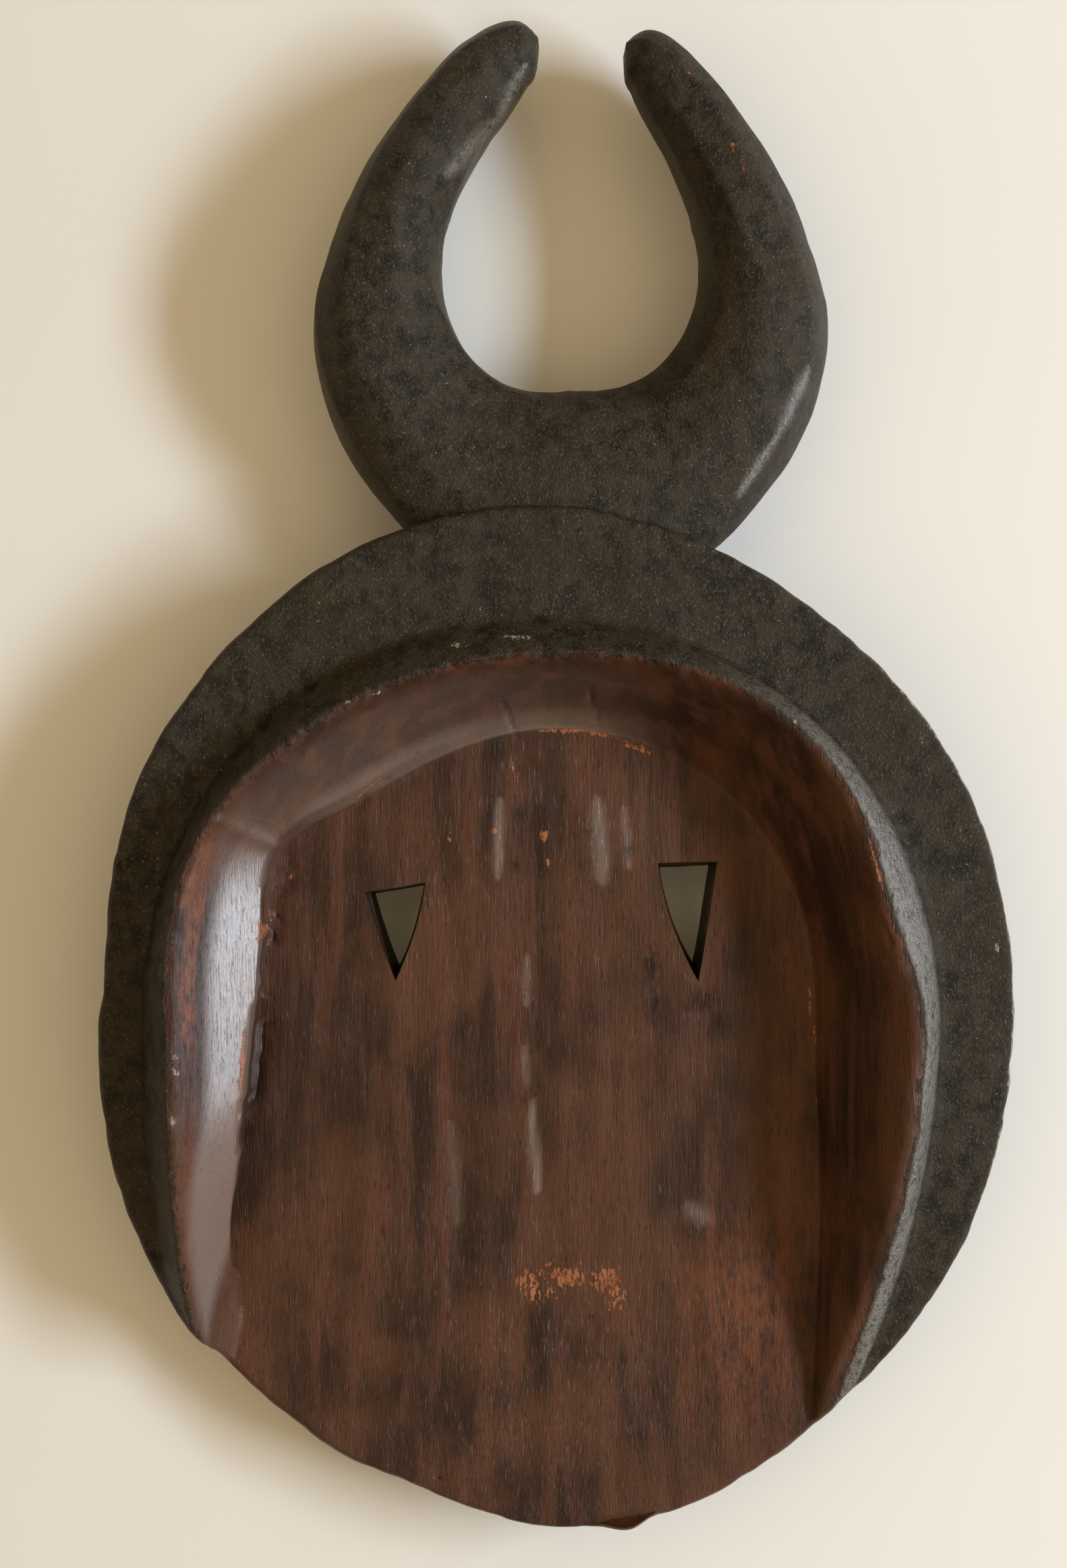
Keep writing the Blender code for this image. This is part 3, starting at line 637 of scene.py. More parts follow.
def horn_surface(sizes):
    """Crescent of horns: a squarish oval section with knife facets, carried round the gap."""
    share = np.linspace(0, 1, HORN_STATIONS)
    crowded = share - HORN_CROWDING * np.sin(2 * math.pi * share) / (2 * math.pi)
    place = -LEFT_TIP_ANGLE + (LEFT_TIP_ANGLE + RIGHT_TIP_ANGLE) * crowded
    tip = np.where(place < 0, LEFT_TIP_ANGLE, RIGHT_TIP_ANGLE)
    away = np.abs(place)
    inner = GAP_RADIUS + smooth_curve(away, GAP_WAVER) + smooth_curve(tip - away, TIP_FLARE)
    outer = GAP_RADIUS + smooth_curve(away, HORN_WIDTHS) - smooth_curve(tip - away, TIP_ROUND)
    root = 2 * (BACK_HEIGHT - HORN_STEP) - HORN_THICKNESS
    thick = root + (HORN_THICKNESS - root) * smooth_curve(away, HORN_SWELL)
    thick = thick * smooth_curve(tip - away, TIP_TAPER)
    turn = np.arange(HORN_SIDES) * 2 * math.pi / HORN_SIDES
    place, turn_grid = np.meshgrid(np.radians(place), turn, indexing="ij")
    power = 2 / HORN_SQUARENESS
    across = np.sign(np.cos(turn_grid)) * np.abs(np.cos(turn_grid)) ** power
    up = np.sign(np.sin(turn_grid)) * np.abs(np.sin(turn_grid)) ** power
    step = 2 * math.pi / HORN_FACETS
    phase = (turn_grid + 0.35 + 0.25 * np.sin(2.0 * place)) % step - step / 2
    facet = math.cos(step / 2) / np.cos(phase)
    facet = 1 + (facet - 1) * sizes.facet_share * ramp(np.abs(turn_grid - 1.5 * math.pi), 0.3, 0.9)
    middle, half = (inner + outer) / 2, (outer - inner) / 2
    radius = middle[:, None] + across * facet * half[:, None]
    points = np.stack((
        GAP_CENTRE_SHIFT + radius * np.sin(place),
        GAP_CENTRE_RISE - radius * np.cos(place),
        HORN_THICKNESS / 2 + up * facet * thick[:, None] / 2,
    ), axis=-1)
    index = np.arange(points[..., 0].size).reshape(HORN_STATIONS, HORN_SIDES)
    faces = [bridge(index[k], index[k + 1]) for k in range(HORN_STATIONS - 1)]
    ends = points[[0, -1]].mean(axis=1)
    flat = points.reshape(-1, 3)
    for loop, centre in ((index[0][::-1], len(flat)), (index[-1], len(flat) + 1)):
        faces.append(np.column_stack((loop, np.full(HORN_SIDES, centre), np.roll(loop, -1))))
    return np.concatenate((flat, ends)), np.concatenate(faces)


def loft(rings):
    """Closed body from a stack of rings of equal count, from the top down, with a fan on each end."""
    count = len(rings[0])
    index = np.arange(len(rings) * count).reshape(len(rings), count)
    faces = [bridge(index[k], index[k + 1]) for k in range(len(rings) - 1)]
    flat = np.concatenate(rings)
    for loop, centre in ((index[0][::-1], len(flat)), (index[-1], len(flat) + 1)):
        faces.append(np.column_stack((loop, np.full(count, centre), np.roll(loop, -1))))
    ends = np.stack((rings[0].mean(axis=0), rings[-1].mean(axis=0)))
    return np.concatenate((flat, ends)), np.concatenate(faces)


def root_height(plan):
    """Height inside the plank for the root of a raised shape, above the front all over its plan."""
    x, y = plan.T
    return front_height(np.hypot(x, y), np.arctan2(y, x)).max() + ROOT_DEPTH


def lobe_surface(side):
    """Teardrop lobe: a sine drawn to a point, leaning towards the mouth, with a quarter-round shoulder."""
    turn = np.arange(96) * 2 * math.pi / 96
    teardrop = np.sin(turn) * np.abs(np.sin(turn / 2)) ** LOBE_POINTEDNESS
    teardrop /= teardrop.max()
    centre = EYE_MIDDLE + side * EYE_SPACING / 2
    rings = []
    for bend in (None, 0, 15, 30, 45, 60, 75, 90):
        drop = 0 if bend is None else math.radians(bend)
        inset = LOBE_SHOULDER * (1 - math.cos(drop))
        v = LOBE_TOP - LOBE_LENGTH / 2 - (LOBE_LENGTH / 2 - inset) * np.cos(turn)
        lean = LOBE_LEAN * np.clip((LOBE_TOP - v) / LOBE_LENGTH, 0, 1) ** 2
        plan = np.column_stack((centre + (LOBE_WIDTH / 2 - inset) * teardrop - side * lean, v))
        height = root_height(plan) if bend is None else LOBE_SHOULDER * (1 - math.sin(drop))
        rings.append(np.column_stack((plan, np.full_like(v, height))))
    return loft([ring[::-1] for ring in rings])


def box_surface(centre, size, low, high, shoulder):
    """Rectangular block between two heights, with its lower edge drawn in by the shoulder."""
    corner = np.array(((1, 1), (-1, 1), (-1, -1), (1, -1)), float)
    rings = []
    bevel = shoulder * 0.3
    for inset, height in ((0, high), (0, low + shoulder), (bevel, low + bevel), (shoulder, low)):
        plan = np.array(centre) + corner * (np.array(size) / 2 - inset)
        rings.append(np.column_stack((plan, np.full(4, height))))
    return loft(rings)


def eye_surface(side, top, drop, tilt, apex_shift, left_bulge, right_bulge):
    """Cutter of one eye hole: a triangle whose long sides bow outwards, drawn in towards the front."""
    centre = EYE_MIDDLE + side * EYE_SPACING / 2
    left = np.array((centre - EYE_WIDTH / 2, top - tilt / 2))
    right = np.array((centre + EYE_WIDTH / 2, top + tilt / 2))
    apex = np.array((centre + apex_shift, top - drop))
    t = np.linspace(0, 1, 24, endpoint=False)[:, None]
    bow = 4 * t * (1 - t)
    outline = np.concatenate((
        left + (apex - left) * t - bow * (left_bulge, 0),
        apex + (right - apex) * t + bow * (right_bulge, 0),
        right + (left - right) * t,
    ))
    middle = (left + right + apex) / 3
    rings = []
    for share, height in ((1.0, FLOOR_HEIGHT + CUT_CLEARANCE), (1.0, FLOOR_HEIGHT - 0.001),
                          (EYE_FRONT_SHARE, -CUT_CLEARANCE)):
        rings.append(np.column_stack((middle + (outline - middle) * share, np.full(len(outline), height))))
    return loft(rings)


def mesh_object(name, points, faces):
    """Object with a mesh made from arrays of points and triangles."""
    mesh = bpy.data.meshes.new(name)
    mesh.vertices.add(len(points))
    mesh.vertices.foreach_set("co", np.asarray(points, np.float32).ravel())
    mesh.loops.add(faces.size)
    mesh.loops.foreach_set("vertex_index", faces.astype(np.int32).ravel())
    mesh.polygons.add(len(faces))
    mesh.polygons.foreach_set("loop_start", np.arange(0, faces.size, 3, dtype=np.int32))
    mesh.update(calc_edges=True)
    mesh.validate()
    return bpy.data.objects.new(name, mesh)


def carve(base, helpers, operation):
    """Joins the helper bodies to the base, or cuts them away, and returns the result as a new object."""
    group = bpy.data.collections.new("helpers")
    bpy.context.scene.collection.children.link(group)
    for name, surface in helpers:
        group.objects.link(mesh_object(name, *surface))
    bpy.context.scene.collection.objects.link(base)
    step = base.modifiers.new(operation.lower(), "BOOLEAN")
    step.operation = operation
    step.solver = "EXACT"
    step.operand_type = "COLLECTION"
    step.collection = group
    done = bpy.data.meshes.new_from_object(base.evaluated_get(bpy.context.evaluated_depsgraph_get()))
    for old in list(group.objects) + [base]:
        bpy.data.objects.remove(old, do_unlink=True)
    bpy.data.collections.remove(group)
    if not done.polygons:
        raise RuntimeError(f"The step {operation.lower()} left nothing of the carving")
    return bpy.data.objects.new("carving", done)


def near_line(plan, start, end, width):
    """1 on a straight stroke, falling as a bell curve beside it, and narrower towards both ends."""
    start, end = np.array(start), np.array(end)
    along = end - start
    length = max(np.hypot(*along), 1e-6)
    t = ((plan - start) @ along) / length ** 2
    nearest = start + np.clip(t, 0, 1)[:, None] * along
    distance = np.hypot(*(plan - nearest).T)
    taper = 0.35 + 0.65 * np.sqrt(np.clip(4 * t * (1 - t), 0, 1)) if length > 2 else 1
    return np.exp(-(distance / (width * taper)) ** 2)


def spot(plan, centre, half_width, half_height):
    """1 in the middle of an oval patch, falling as a bell curve to 0 outside it."""
    x, y = ((plan - np.array(centre)) / (half_width, half_height)).T
    return np.exp(-(x * x + y * y))


def marked(shape, plan, *marks):
    """Strongest of several strokes or spots, each with its strength as its last value."""
    return np.max([strength * shape(plan, *place) for *place, strength in marks], axis=0)


def bell(value, width):
    """1 at value 0, falling as a bell curve over the width."""
    return np.exp(-(value / width) ** 2)


def place_fields(points, normals):
    """Where each point lies: plan in millimetres, radius, angle, wall lines and whether it is on the back."""
    radius = np.hypot(points[:, 0], points[:, 1])
    angle = np.arctan2(points[:, 1], points[:, 0]) % (2 * math.pi)
    lines = wall_lines(angle)
    rim = rim_radius(angle)
    on_disc = radius < rim + 0.0008
    surface = back_height(np.minimum(radius, rim), angle, lines)
    on_back = on_disc & (normals[:, 2] > -0.1) & (points[:, 2] > surface - 0.004)
    on_back |= (radius < lines[0] + UNDERCUT) & (points[:, 2] > floor_height(points[:, 1]) - 0.003)
    return points[:, :2] * 1000, radius, angle, lines, rim, on_disc, on_back


def cut_marks(points, normals, sizes):
    """Moves the points by the knife's marks: cuts on the back, ripple of the grain, dents and worn edges."""
    plan, radius, _, (_, crest, _), rim, on_disc, on_back = place_fields(points, normals)
    depth = np.zeros(len(points))
    for start, end, width, deep in CUTS:
        depth += deep * 0.001 * near_line(plan, start, end, width) * on_back
    hollow = ramp(crest - radius, 0.0, 0.004) * on_back
    ripple = noise(points, (0.009, 0.060, 0.02), 1) + 0.5 * noise(points, (0.004, 0.03, 0.01), 2)
    depth += hollow * sizes.floor_ripple * ripple
    dents = noise(points, 0.0075, 3) + 0.6 * noise(points, 0.0034, 4)
    depth += (1 - hollow) * sizes.dent_depth * dents
    wear = bell(radius - crest, 0.003) * noise(points, (0.003, 0.006, 0.003), 6)
    depth += sizes.crest_wear * wear * on_back
    depth -= marked(near_line, plan, SLOPE_RIDGE) * on_back
    at_rim = (np.abs(radius - rim) < 0.0025) & on_disc
    depth += at_rim * sizes.rim_chips * np.clip(noise(points, 0.004, 7), 0, 1)
    return points - normals * depth[:, None]


def in_eye_hole(points, normals, floor_edge):
    """Whether a point is on the wall of an eye hole: under the floor, upright, and near the eyes' middle."""
    radius = np.hypot(points[:, 0], points[:, 1])
    upright = np.abs(normals[:, 2]) < 0.6
    low = (points[:, 2] < FLOOR_HEIGHT - 0.0008) & (points[:, 2] > 0.0004)
    return low & upright & (radius < floor_edge) & (np.abs(points[:, 1] - EYE_HOLES_MIDDLE) < EYE_HOLES_REACH)


def surface_fields(points, normals):
    """Fields from 0 to 1 for the finish: raw, stained, dusty, scuffed, and painted highlight, glare and shade.
    """
    plan, radius, angle, (floor_edge, crest, foot), rim, on_disc, on_back = place_fields(points, normals)
    degrees = np.degrees(angle)
    slope = np.clip((radius - floor_edge) / (crest - floor_edge), 0, 1)
    in_hole = in_eye_hole(points, normals, floor_edge)
    inside = np.clip((crest + STAIN_OFFSET - radius) / STAIN_BLEND, -1, 1)
    hollow = np.where(on_back | in_hole, inside, -1.0)

    raw = np.maximum(marked(spot, plan, *RAW_SPOTS), marked(near_line, plan, *RAW_STROKES) * on_back)
    # The walls of the eye holes get painted shade, dark as the hole; the spots are dark blots in the wood
    stain = np.where(in_hole, 0.9, marked(spot, plan, *STAIN_SPOTS) * on_back)

    rub = 0.85 * band(slope, RUB_SLOPE) * band(degrees, RUB_ANGLES) * (1 - 0.65 * ramp(degrees, *RUB_FADE))
    rub = np.maximum(rub, marked(near_line, plan, RUB_STROKE))
    rub = np.maximum(rub, marked(spot, plan, RUB_SPOT) * (slope < 0.05)) * on_back

    dust = LINE_DUST * bell(radius - foot, 0.0009) * band(degrees, FOOT_DUST_ANGLES) * on_back
    rim_line = LINE_DUST * bell(radius - rim + 0.0008, 0.0008) * band(degrees, RIM_DUST_ANGLES) * on_disc
    rim_wear = bell(radius - rim, RIM_WEAR_WIDTH) * (np.abs(points[:, 2] - BACK_HEIGHT) < RIM_WEAR_REACH)
    rim_wear = rim_wear * (0.45 + 0.5 * ramp(np.cos(angle), 0.45, 0.85))
    dust = np.maximum.reduce((dust, rim_line, rim_wear, marked(spot, plan, *EDGE_FLECK_SPOTS),
                              marked(spot, plan, *FLECK_SPOTS) * on_back))

    # Painted glare: pale grey standing for the window's reflection on the left slope, which faces the light.
    # The coves get a paler grey, and the scuffs are real scrapes.
    glare = 0.9 * ramp(slope, *GLARE_SLOPE[:2]) * band(degrees, GLARE_ANGLES)
    glare = glare * (1 - ramp(slope - GLARE_WIDENING * ramp(degrees, *GLARE_WIDENS), *GLARE_SLOPE[2:]))
    glare = glare * ramp(points[:, 2] - floor_height(points[:, 1]), *LIP_DEPTH)
    cove_paler = 0.30 * band(slope, COVE_PALER_SLOPE) * band(degrees, COVE_PALER_ANGLES)
    cove_edge = 0.75 * band(slope, COVE_EDGE_SLOPE) * band(degrees, COVE_EDGE_ANGLES)
    scuffs = marked(near_line, plan, *SCUFF_STROKES)
    haze = np.maximum.reduce((glare, cove_paler, cove_edge, scuffs)) * on_back

    # Painted highlight: pale grey on the right outer face of the wall, which faces the window, and on the
    # horns' lit ridges
    worn = ramp(crest + HIGHLIGHT_SHARE * (foot - crest) - radius, -0.0005, 0.0005)
    worn = worn * ramp(radius - crest, 0.0005, 0.0020) * ramp(np.cos(angle), *HIGHLIGHT_RIGHT) * on_back
    worn = np.maximum(worn, marked(near_line, plan, *HORN_HIGHLIGHT_STROKES) * (normals[:, 2] > 0))
    polish = np.where(on_disc, bell(radius - (crest + foot) / 2, 0.005) * on_back, HORN_POLISH)
    for start, end, width, _ in HORN_HIGHLIGHT_STROKES:
        polish = np.maximum(polish, POLISH_STRENGTH * near_line(plan, start, end, POLISH_WIDENING * width))

    fibre = FIBRE_LEAST + sum(marked(spot, plan, place) for place in FIBRE_SPOTS)
    fibre = np.clip(np.maximum(fibre, marked(spot, plan, FIBRE_PATCH)), 0, 1)
    return {"hollow": hollow, "raw": raw, "rub": rub, "stain": stain, "dust": dust, "haze": haze,
            "fibre": fibre, "polish": polish, "worn": worn}


def srgb(code):
    """Linear red, green, blue and alpha of an sRGB hex colour."""
    parts = [int(code[k:k + 2], 16) / 255 for k in (1, 3, 5)]
    return tuple(c / 12.92 if c <= 0.04045 else ((c + 0.055) / 1.055) ** 2.4 for c in parts) + (1.0,)


def add(tree, kind, output, links=None, **settings):
    """Adds a node with its settings and returns one of its outputs.

    links maps a socket's name or number to a value, or to another node's output.
    """
    node = tree.nodes.new(kind)
    for name, value in settings.items():
        setattr(node, name, value)
    for socket, value in (links or {}).items():
        if isinstance(value, bpy.types.NodeSocket):
            tree.links.new(value, node.inputs[socket])
        else:
            node.inputs[socket].default_value = value
    return node.outputs[output]


def weighted(tree, start, *terms):
    """Start value plus each further value times its weight."""
    for value, weight in terms:
        start = add(tree, "ShaderNodeMath", "Value", {0: value, 1: weight, 2: start},
                    operation="MULTIPLY_ADD")
    return start


def masked(tree, share, masks, patterns):
    """Share times each pattern's soft step from its low value to its high one."""
    for name, low, high in masks:
        mask = add(tree, "ShaderNodeMapRange", "Result", {
            "Value": patterns[name], "From Min": low, "From Max": high}, interpolation_type="SMOOTHSTEP")
        share = add(tree, "ShaderNodeMath", "Value", {0: mask, 1: share}, operation="MULTIPLY")
    return share


def layered(tree, under, layers, colours, patterns, fields):
    """Lays finishes over a first colour, each held back by its patterns and its field."""
    for colour, share, field, *masks in layers:
        share = masked(tree, share, masks, patterns)
        if field:
            share = add(tree, "ShaderNodeMath", "Value", {0: share, 1: fields[field]}, operation="MULTIPLY")
        under = add(tree, "ShaderNodeMix", 2, {0: share, 6: under, 7: colours[colour]}, data_type="RGBA")
    return under


def wood_material(colours):
    """Carved hardwood stained black outside and rubbed brown inside, with raw wood in the chips.

    Grain runs along the mask, so its patterns are stretched along Y. The black stain is dry, and its pits
    swallow the shine; pale grey is painted on as highlight where the window's light catches the wall's right
    outer face and the horns' ridges. The hollow has the satin polish of handling, grey scuffs on its ridges
    and open pores, with a pale painted glare on the left slope, a paler grey over the coves and painted shade
    on the walls of the eye holes.
    """
    material = bpy.data.materials.new("stained_hardwood")
    material.use_nodes = True
    tree = material.node_tree
    shader = tree.nodes["Principled BSDF"]
    place = add(tree, "ShaderNodeTexCoord", "Object")
    patterns, fields, edges = {}, {}, {}
    for name, (cell, detail, roughness, distortion) in PATTERNS.items():
        scale = tuple(1000 / size for size in cell)
        vector = add(tree, "ShaderNodeMapping", "Vector", {"Vector": place, "Scale": scale})
        patterns[name] = add(tree, "ShaderNodeTexNoise", "Fac", {
            "Vector": vector, "Scale": 1.0, "Detail": detail, "Roughness": roughness,
            "Distortion": distortion})
    for name in ("hollow", "raw", "rub", "stain", "dust", "haze", "fibre", "polish", "worn"):
        fields[name] = add(tree, "ShaderNodeAttribute", "Fac", attribute_name=name)
    fields["away_from_glare_and_scuffs"] = weighted(tree, 1.0, (fields["haze"], -0.8))
    fields["scuffs_and_painted_glare_share"] = add(tree, "ShaderNodeMath", "Value", {
        0: masked(tree, fields["haze"], GLARE_AND_SCUFF_BREAKUP, patterns),
        1: masked(tree, FAINT_SCUFF_SHARE, FAINT_SCUFF, patterns)}, operation="MAXIMUM")
    for name, (pattern, middle, swing, low, high) in RAGGED_EDGES.items():
        ragged = weighted(tree, -middle * swing, (patterns[pattern], swing), (fields[name], 1.0))
        edges[name] = add(tree, "ShaderNodeMapRange", "Result", {
            "Value": ragged, "From Min": low, "From Max": high}, interpolation_type="SMOOTHSTEP")

    # Colours: black stain outside with its painted highlight, brown inside with its painted glare and the eye
    # holes' painted shade, then dust and raw wood over both
    wood = add(tree, "ShaderNodeMix", 2, {
        0: edges["hollow"],
        6: layered(tree, colours["black_stain"], OUTSIDE_LAYERS, colours, patterns, fields),
        7: layered(tree, colours["dark_brown"], HOLLOW_LAYERS, colours, patterns, fields)}, data_type="RGBA")
    dust_cover = weighted(tree, 0.0, (edges["dust"], DUST_COVER))
    wood = add(tree, "ShaderNodeMix", 2, {0: dust_cover, 6: wood, 7: colours["pale_chip"]}, data_type="RGBA")
    raw_wood = layered(tree, colours["raw"], (("raw_dark", 1.0, None, ("grain", *RAW_GRAIN)),),
                       colours, patterns, fields)
    wood = add(tree, "ShaderNodeMix", 2, {0: edges["raw"], 6: wood, 7: raw_wood}, data_type="RGBA")
    tree.links.new(wood, shader.inputs["Base Color"])

    # Roughness, shine and relief, each first outside and then in the hollow
    pores = add(tree, "ShaderNodeMapRange", "Result", {
        "Value": patterns["streaks"], "From Min": OPEN_PORES[0], "From Max": OPEN_PORES[1]},
        interpolation_type="SMOOTHSTEP")
    open_grain = weighted(tree, 0.0, (patterns["grain"], 0.35), (pores, -0.14))
    calm = weighted(tree, 1.0, (fields["haze"], -0.5))
    sides = {
        "roughness": (weighted(tree, 0.42, (patterns["mottle"], 0.22), (fields["polish"], -0.21)),
                      weighted(tree, 0.36, (patterns["grain"], 0.16), (fields["haze"], -0.10))),
        "shine": (weighted(tree, 0.16, (fields["worn"], 0.84)), weighted(tree, 0.22, (fields["haze"], 0.52))),
        "relief": (weighted(tree, 0.0, (patterns["grit"], 0.9), (patterns["mottle"], 0.6)),
                   weighted(tree, 0.0, (open_grain, calm))),
    }
    both = {name: add(tree, "ShaderNodeMix", 0, {0: edges["hollow"], 2: outside, 3: inside})
            for name, (outside, inside) in sides.items()}
    roughness = weighted(tree, both["roughness"], (edges["raw"], 0.30), (edges["dust"], 0.20))
    relief = weighted(tree, both["relief"], (edges["raw"], -0.35))
    normal = add(tree, "ShaderNodeBump", "Normal", {
        "Height": relief, "Strength": 1.0, "Distance": RELIEF_DEPTH})
    tree.links.new(roughness, shader.inputs["Roughness"])
    tree.links.new(both["shine"], shader.inputs["Specular IOR Level"])
    tree.links.new(normal, shader.inputs["Normal"])
    shader.inputs["IOR"].default_value = WOOD_IOR
    return material


def floor_material(colour):
    """Painted board under the mask: a matt off-white with faint unevenness."""
    material = bpy.data.materials.new("painted_board")
    material.use_nodes = True
    tree = material.node_tree
    shader = tree.nodes["Principled BSDF"]
    place = add(tree, "ShaderNodeTexCoord", "Object")
    clouds = add(tree, "ShaderNodeTexNoise", "Fac", {"Vector": place, "Scale": FLOOR_CLOUDS, "Detail": 3.0})
    darker = tuple(c * FLOOR_DARKER for c in colour[:3]) + (1.0,)
    shade = add(tree, "ShaderNodeMix", 2, {0: clouds, 6: darker, 7: tuple(colour)}, data_type="RGBA")
    tree.links.new(shade, shader.inputs["Base Color"])
    shader.inputs["Roughness"].default_value = 0.55
    shader.inputs["IOR"].default_value = 1.45
    return material


def room_world(fill, overhead):
    """Warm soft light of the room: weaker at the horizon, and dim where the onlooker shades the mask."""
    world = bpy.data.worlds.new("room")
    world.use_nodes = True
    tree = world.node_tree
    background = tree.nodes["Background"]
    view = add(tree, "ShaderNodeTexCoord", "Generated")
    upwards = add(tree, "ShaderNodeSeparateXYZ", "Z", {0: view})
    strength = 1.0
    for (low, high), start, end in ((WALLS_BRIGHTEN, fill / 4, fill), (OVERHEAD_SHADE, 1.0, overhead)):
        step = add(tree, "ShaderNodeMapRange", "Result", {
            "Value": upwards, "From Min": low, "From Max": high, "To Min": start, "To Max": end},
            interpolation_type="SMOOTHSTEP")
        strength = add(tree, "ShaderNodeMath", "Value", {0: step, 1: strength}, operation="MULTIPLY")
    background.inputs["Color"].default_value = ROOM_COLOUR
    tree.links.new(strength, background.inputs["Strength"])
    return world


class CarvingSizes(bpy.types.PropertyGroup):
    """Sizes of the knife's marks."""
    facet_share: FloatProperty(
        name="Facet share", description="How flat the knife's facets on the horns are, from round to flat",
        default=0.5, min=0, max=1, subtype="FACTOR")
    floor_ripple: FloatProperty(
        name="Floor ripple", description="Depth of the long waves that the tool left in the hollow",
        default=0.00018, min=0, max=0.001, unit="LENGTH", precision=5)
    dent_depth: FloatProperty(
        name="Dent depth", description="Depth of the dents on the flange and on the horns",
        default=0.00018, min=0, max=0.001, unit="LENGTH", precision=5)
    crest_wear: FloatProperty(
        name="Crest wear", description="Depth of the worn places on the wall's crest",
        default=0.0004, min=0, max=0.001, unit="LENGTH", precision=5)
    rim_chips: FloatProperty(
        name="Rim chips", description="Depth of the chips along the rim",
        default=0.0003, min=0, max=0.001, unit="LENGTH", precision=5)
    rim_unevenness: FloatProperty(
        name="Rim unevenness", description="How far the rim's edge strays from its line",
        default=0.0003, min=0, max=0.001, unit="LENGTH", precision=5)


def colour_property(name, description, code):
    """Colour of a finish, stored linear and given as sRGB hex."""
    return FloatVectorProperty(name=name, description=description, default=srgb(code), size=4, min=0, max=1,
                               subtype="COLOR")


class FinishColours(bpy.types.PropertyGroup):
    """Colours of the stained, rubbed and raw wood, and of the painted highlight, glare and shade."""
    black_stain: colour_property("Black stain", "Dark stain on the flange and horns", "#1A1610")
    grey_stain: colour_property("Grey stain", "Lighter patches of the dark stain", "#362F24")
    warm_stain: colour_property("Warm stain", "Brownish patches of the dark stain", "#322818")
    dust: colour_property("Dust", "Dry dust in the pits", "#5E574A")
    pale_chip: colour_property("Pale chip", "Chips and worn edges", "#A5978A")
    dark_brown: colour_property("Dark brown", "Darker parts of the hollow", "#2C190F")
    brown: colour_property("Brown", "Main colour of the hollow", "#4F301E")
    red_brown: colour_property("Red brown", "Warm bands along the grain", "#593220")
    rubbed: colour_property("Rubbed brown", "Orange-brown where handling wore the stain", "#7E4526")
    # Also the painted glare on the left slope and the paler grey over the coves
    scuff_and_glare_grey: colour_property("Scuff", "Grey bloom on ridges and scrapes", "#86746A")
    pore: colour_property("Pore", "Pale open pores along the grain", "#7E6C5F")
    # Painted highlight: pale grey for the window's light on the wall's right outer face and the horns' ridges
    painted_highlight_grey: colour_property("Worn edge", "Grey dry wood on the wall's worn outer face", "#6A635A")
    # Also the painted shade on the walls of the eye holes
    deep: colour_property("Deep stain", "Dark pores and blots", "#150D08")
    raw: colour_property("Raw wood", "Broken wood in the chips", "#9B6440")
    raw_dark: colour_property("Raw wood, dark", "Fibres of the broken wood", "#7A4427")


class StageSettings(bpy.types.PropertyGroup):
    """Floor, light and camera."""
    floor_colour: colour_property("Floor", "Pale floor under the mask", "#E3E0DA")
    camera_height: FloatProperty(
        name="Camera height", description="Height of the camera over the floor", default=0.638, unit="LENGTH")
    window_elevation: FloatProperty(
        name="Window elevation", description="Angle of the window's middle over the floor",
        default=math.radians(33.5), subtype="ANGLE")
    window_width: FloatProperty(
        name="Window width", description="Width of the window", default=1.2, unit="LENGTH")
    window_height: FloatProperty(
        name="Window height", description="Height of the window", default=0.34, unit="LENGTH")
    window_distance: FloatProperty(
        name="Window distance", description="Way from the mask to the window", default=2.2, unit="LENGTH")
    window_power: FloatProperty(
        name="Window power", description="Power of the window's light", default=60.0, unit="POWER")
    fill: FloatProperty(
        name="Fill", description="Strength of the room's soft light from its walls and ceiling", default=0.86)
    overhead: FloatProperty(
        name="Overhead", description="Share of the room's light left straight overhead", default=0.05,
        min=0, max=1, subtype="FACTOR")


def stage_place():
    """Shift from the disc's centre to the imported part's frame, from the rim's lowest and leftmost points."""
    angle = np.linspace(0, 2 * math.pi, 20000)
    rim = rim_radius(angle)
    low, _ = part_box("mask")
    return np.array((low[0] - (rim * np.cos(angle)).min(), low[1] - (rim * np.sin(angle)).min(), 0.0))


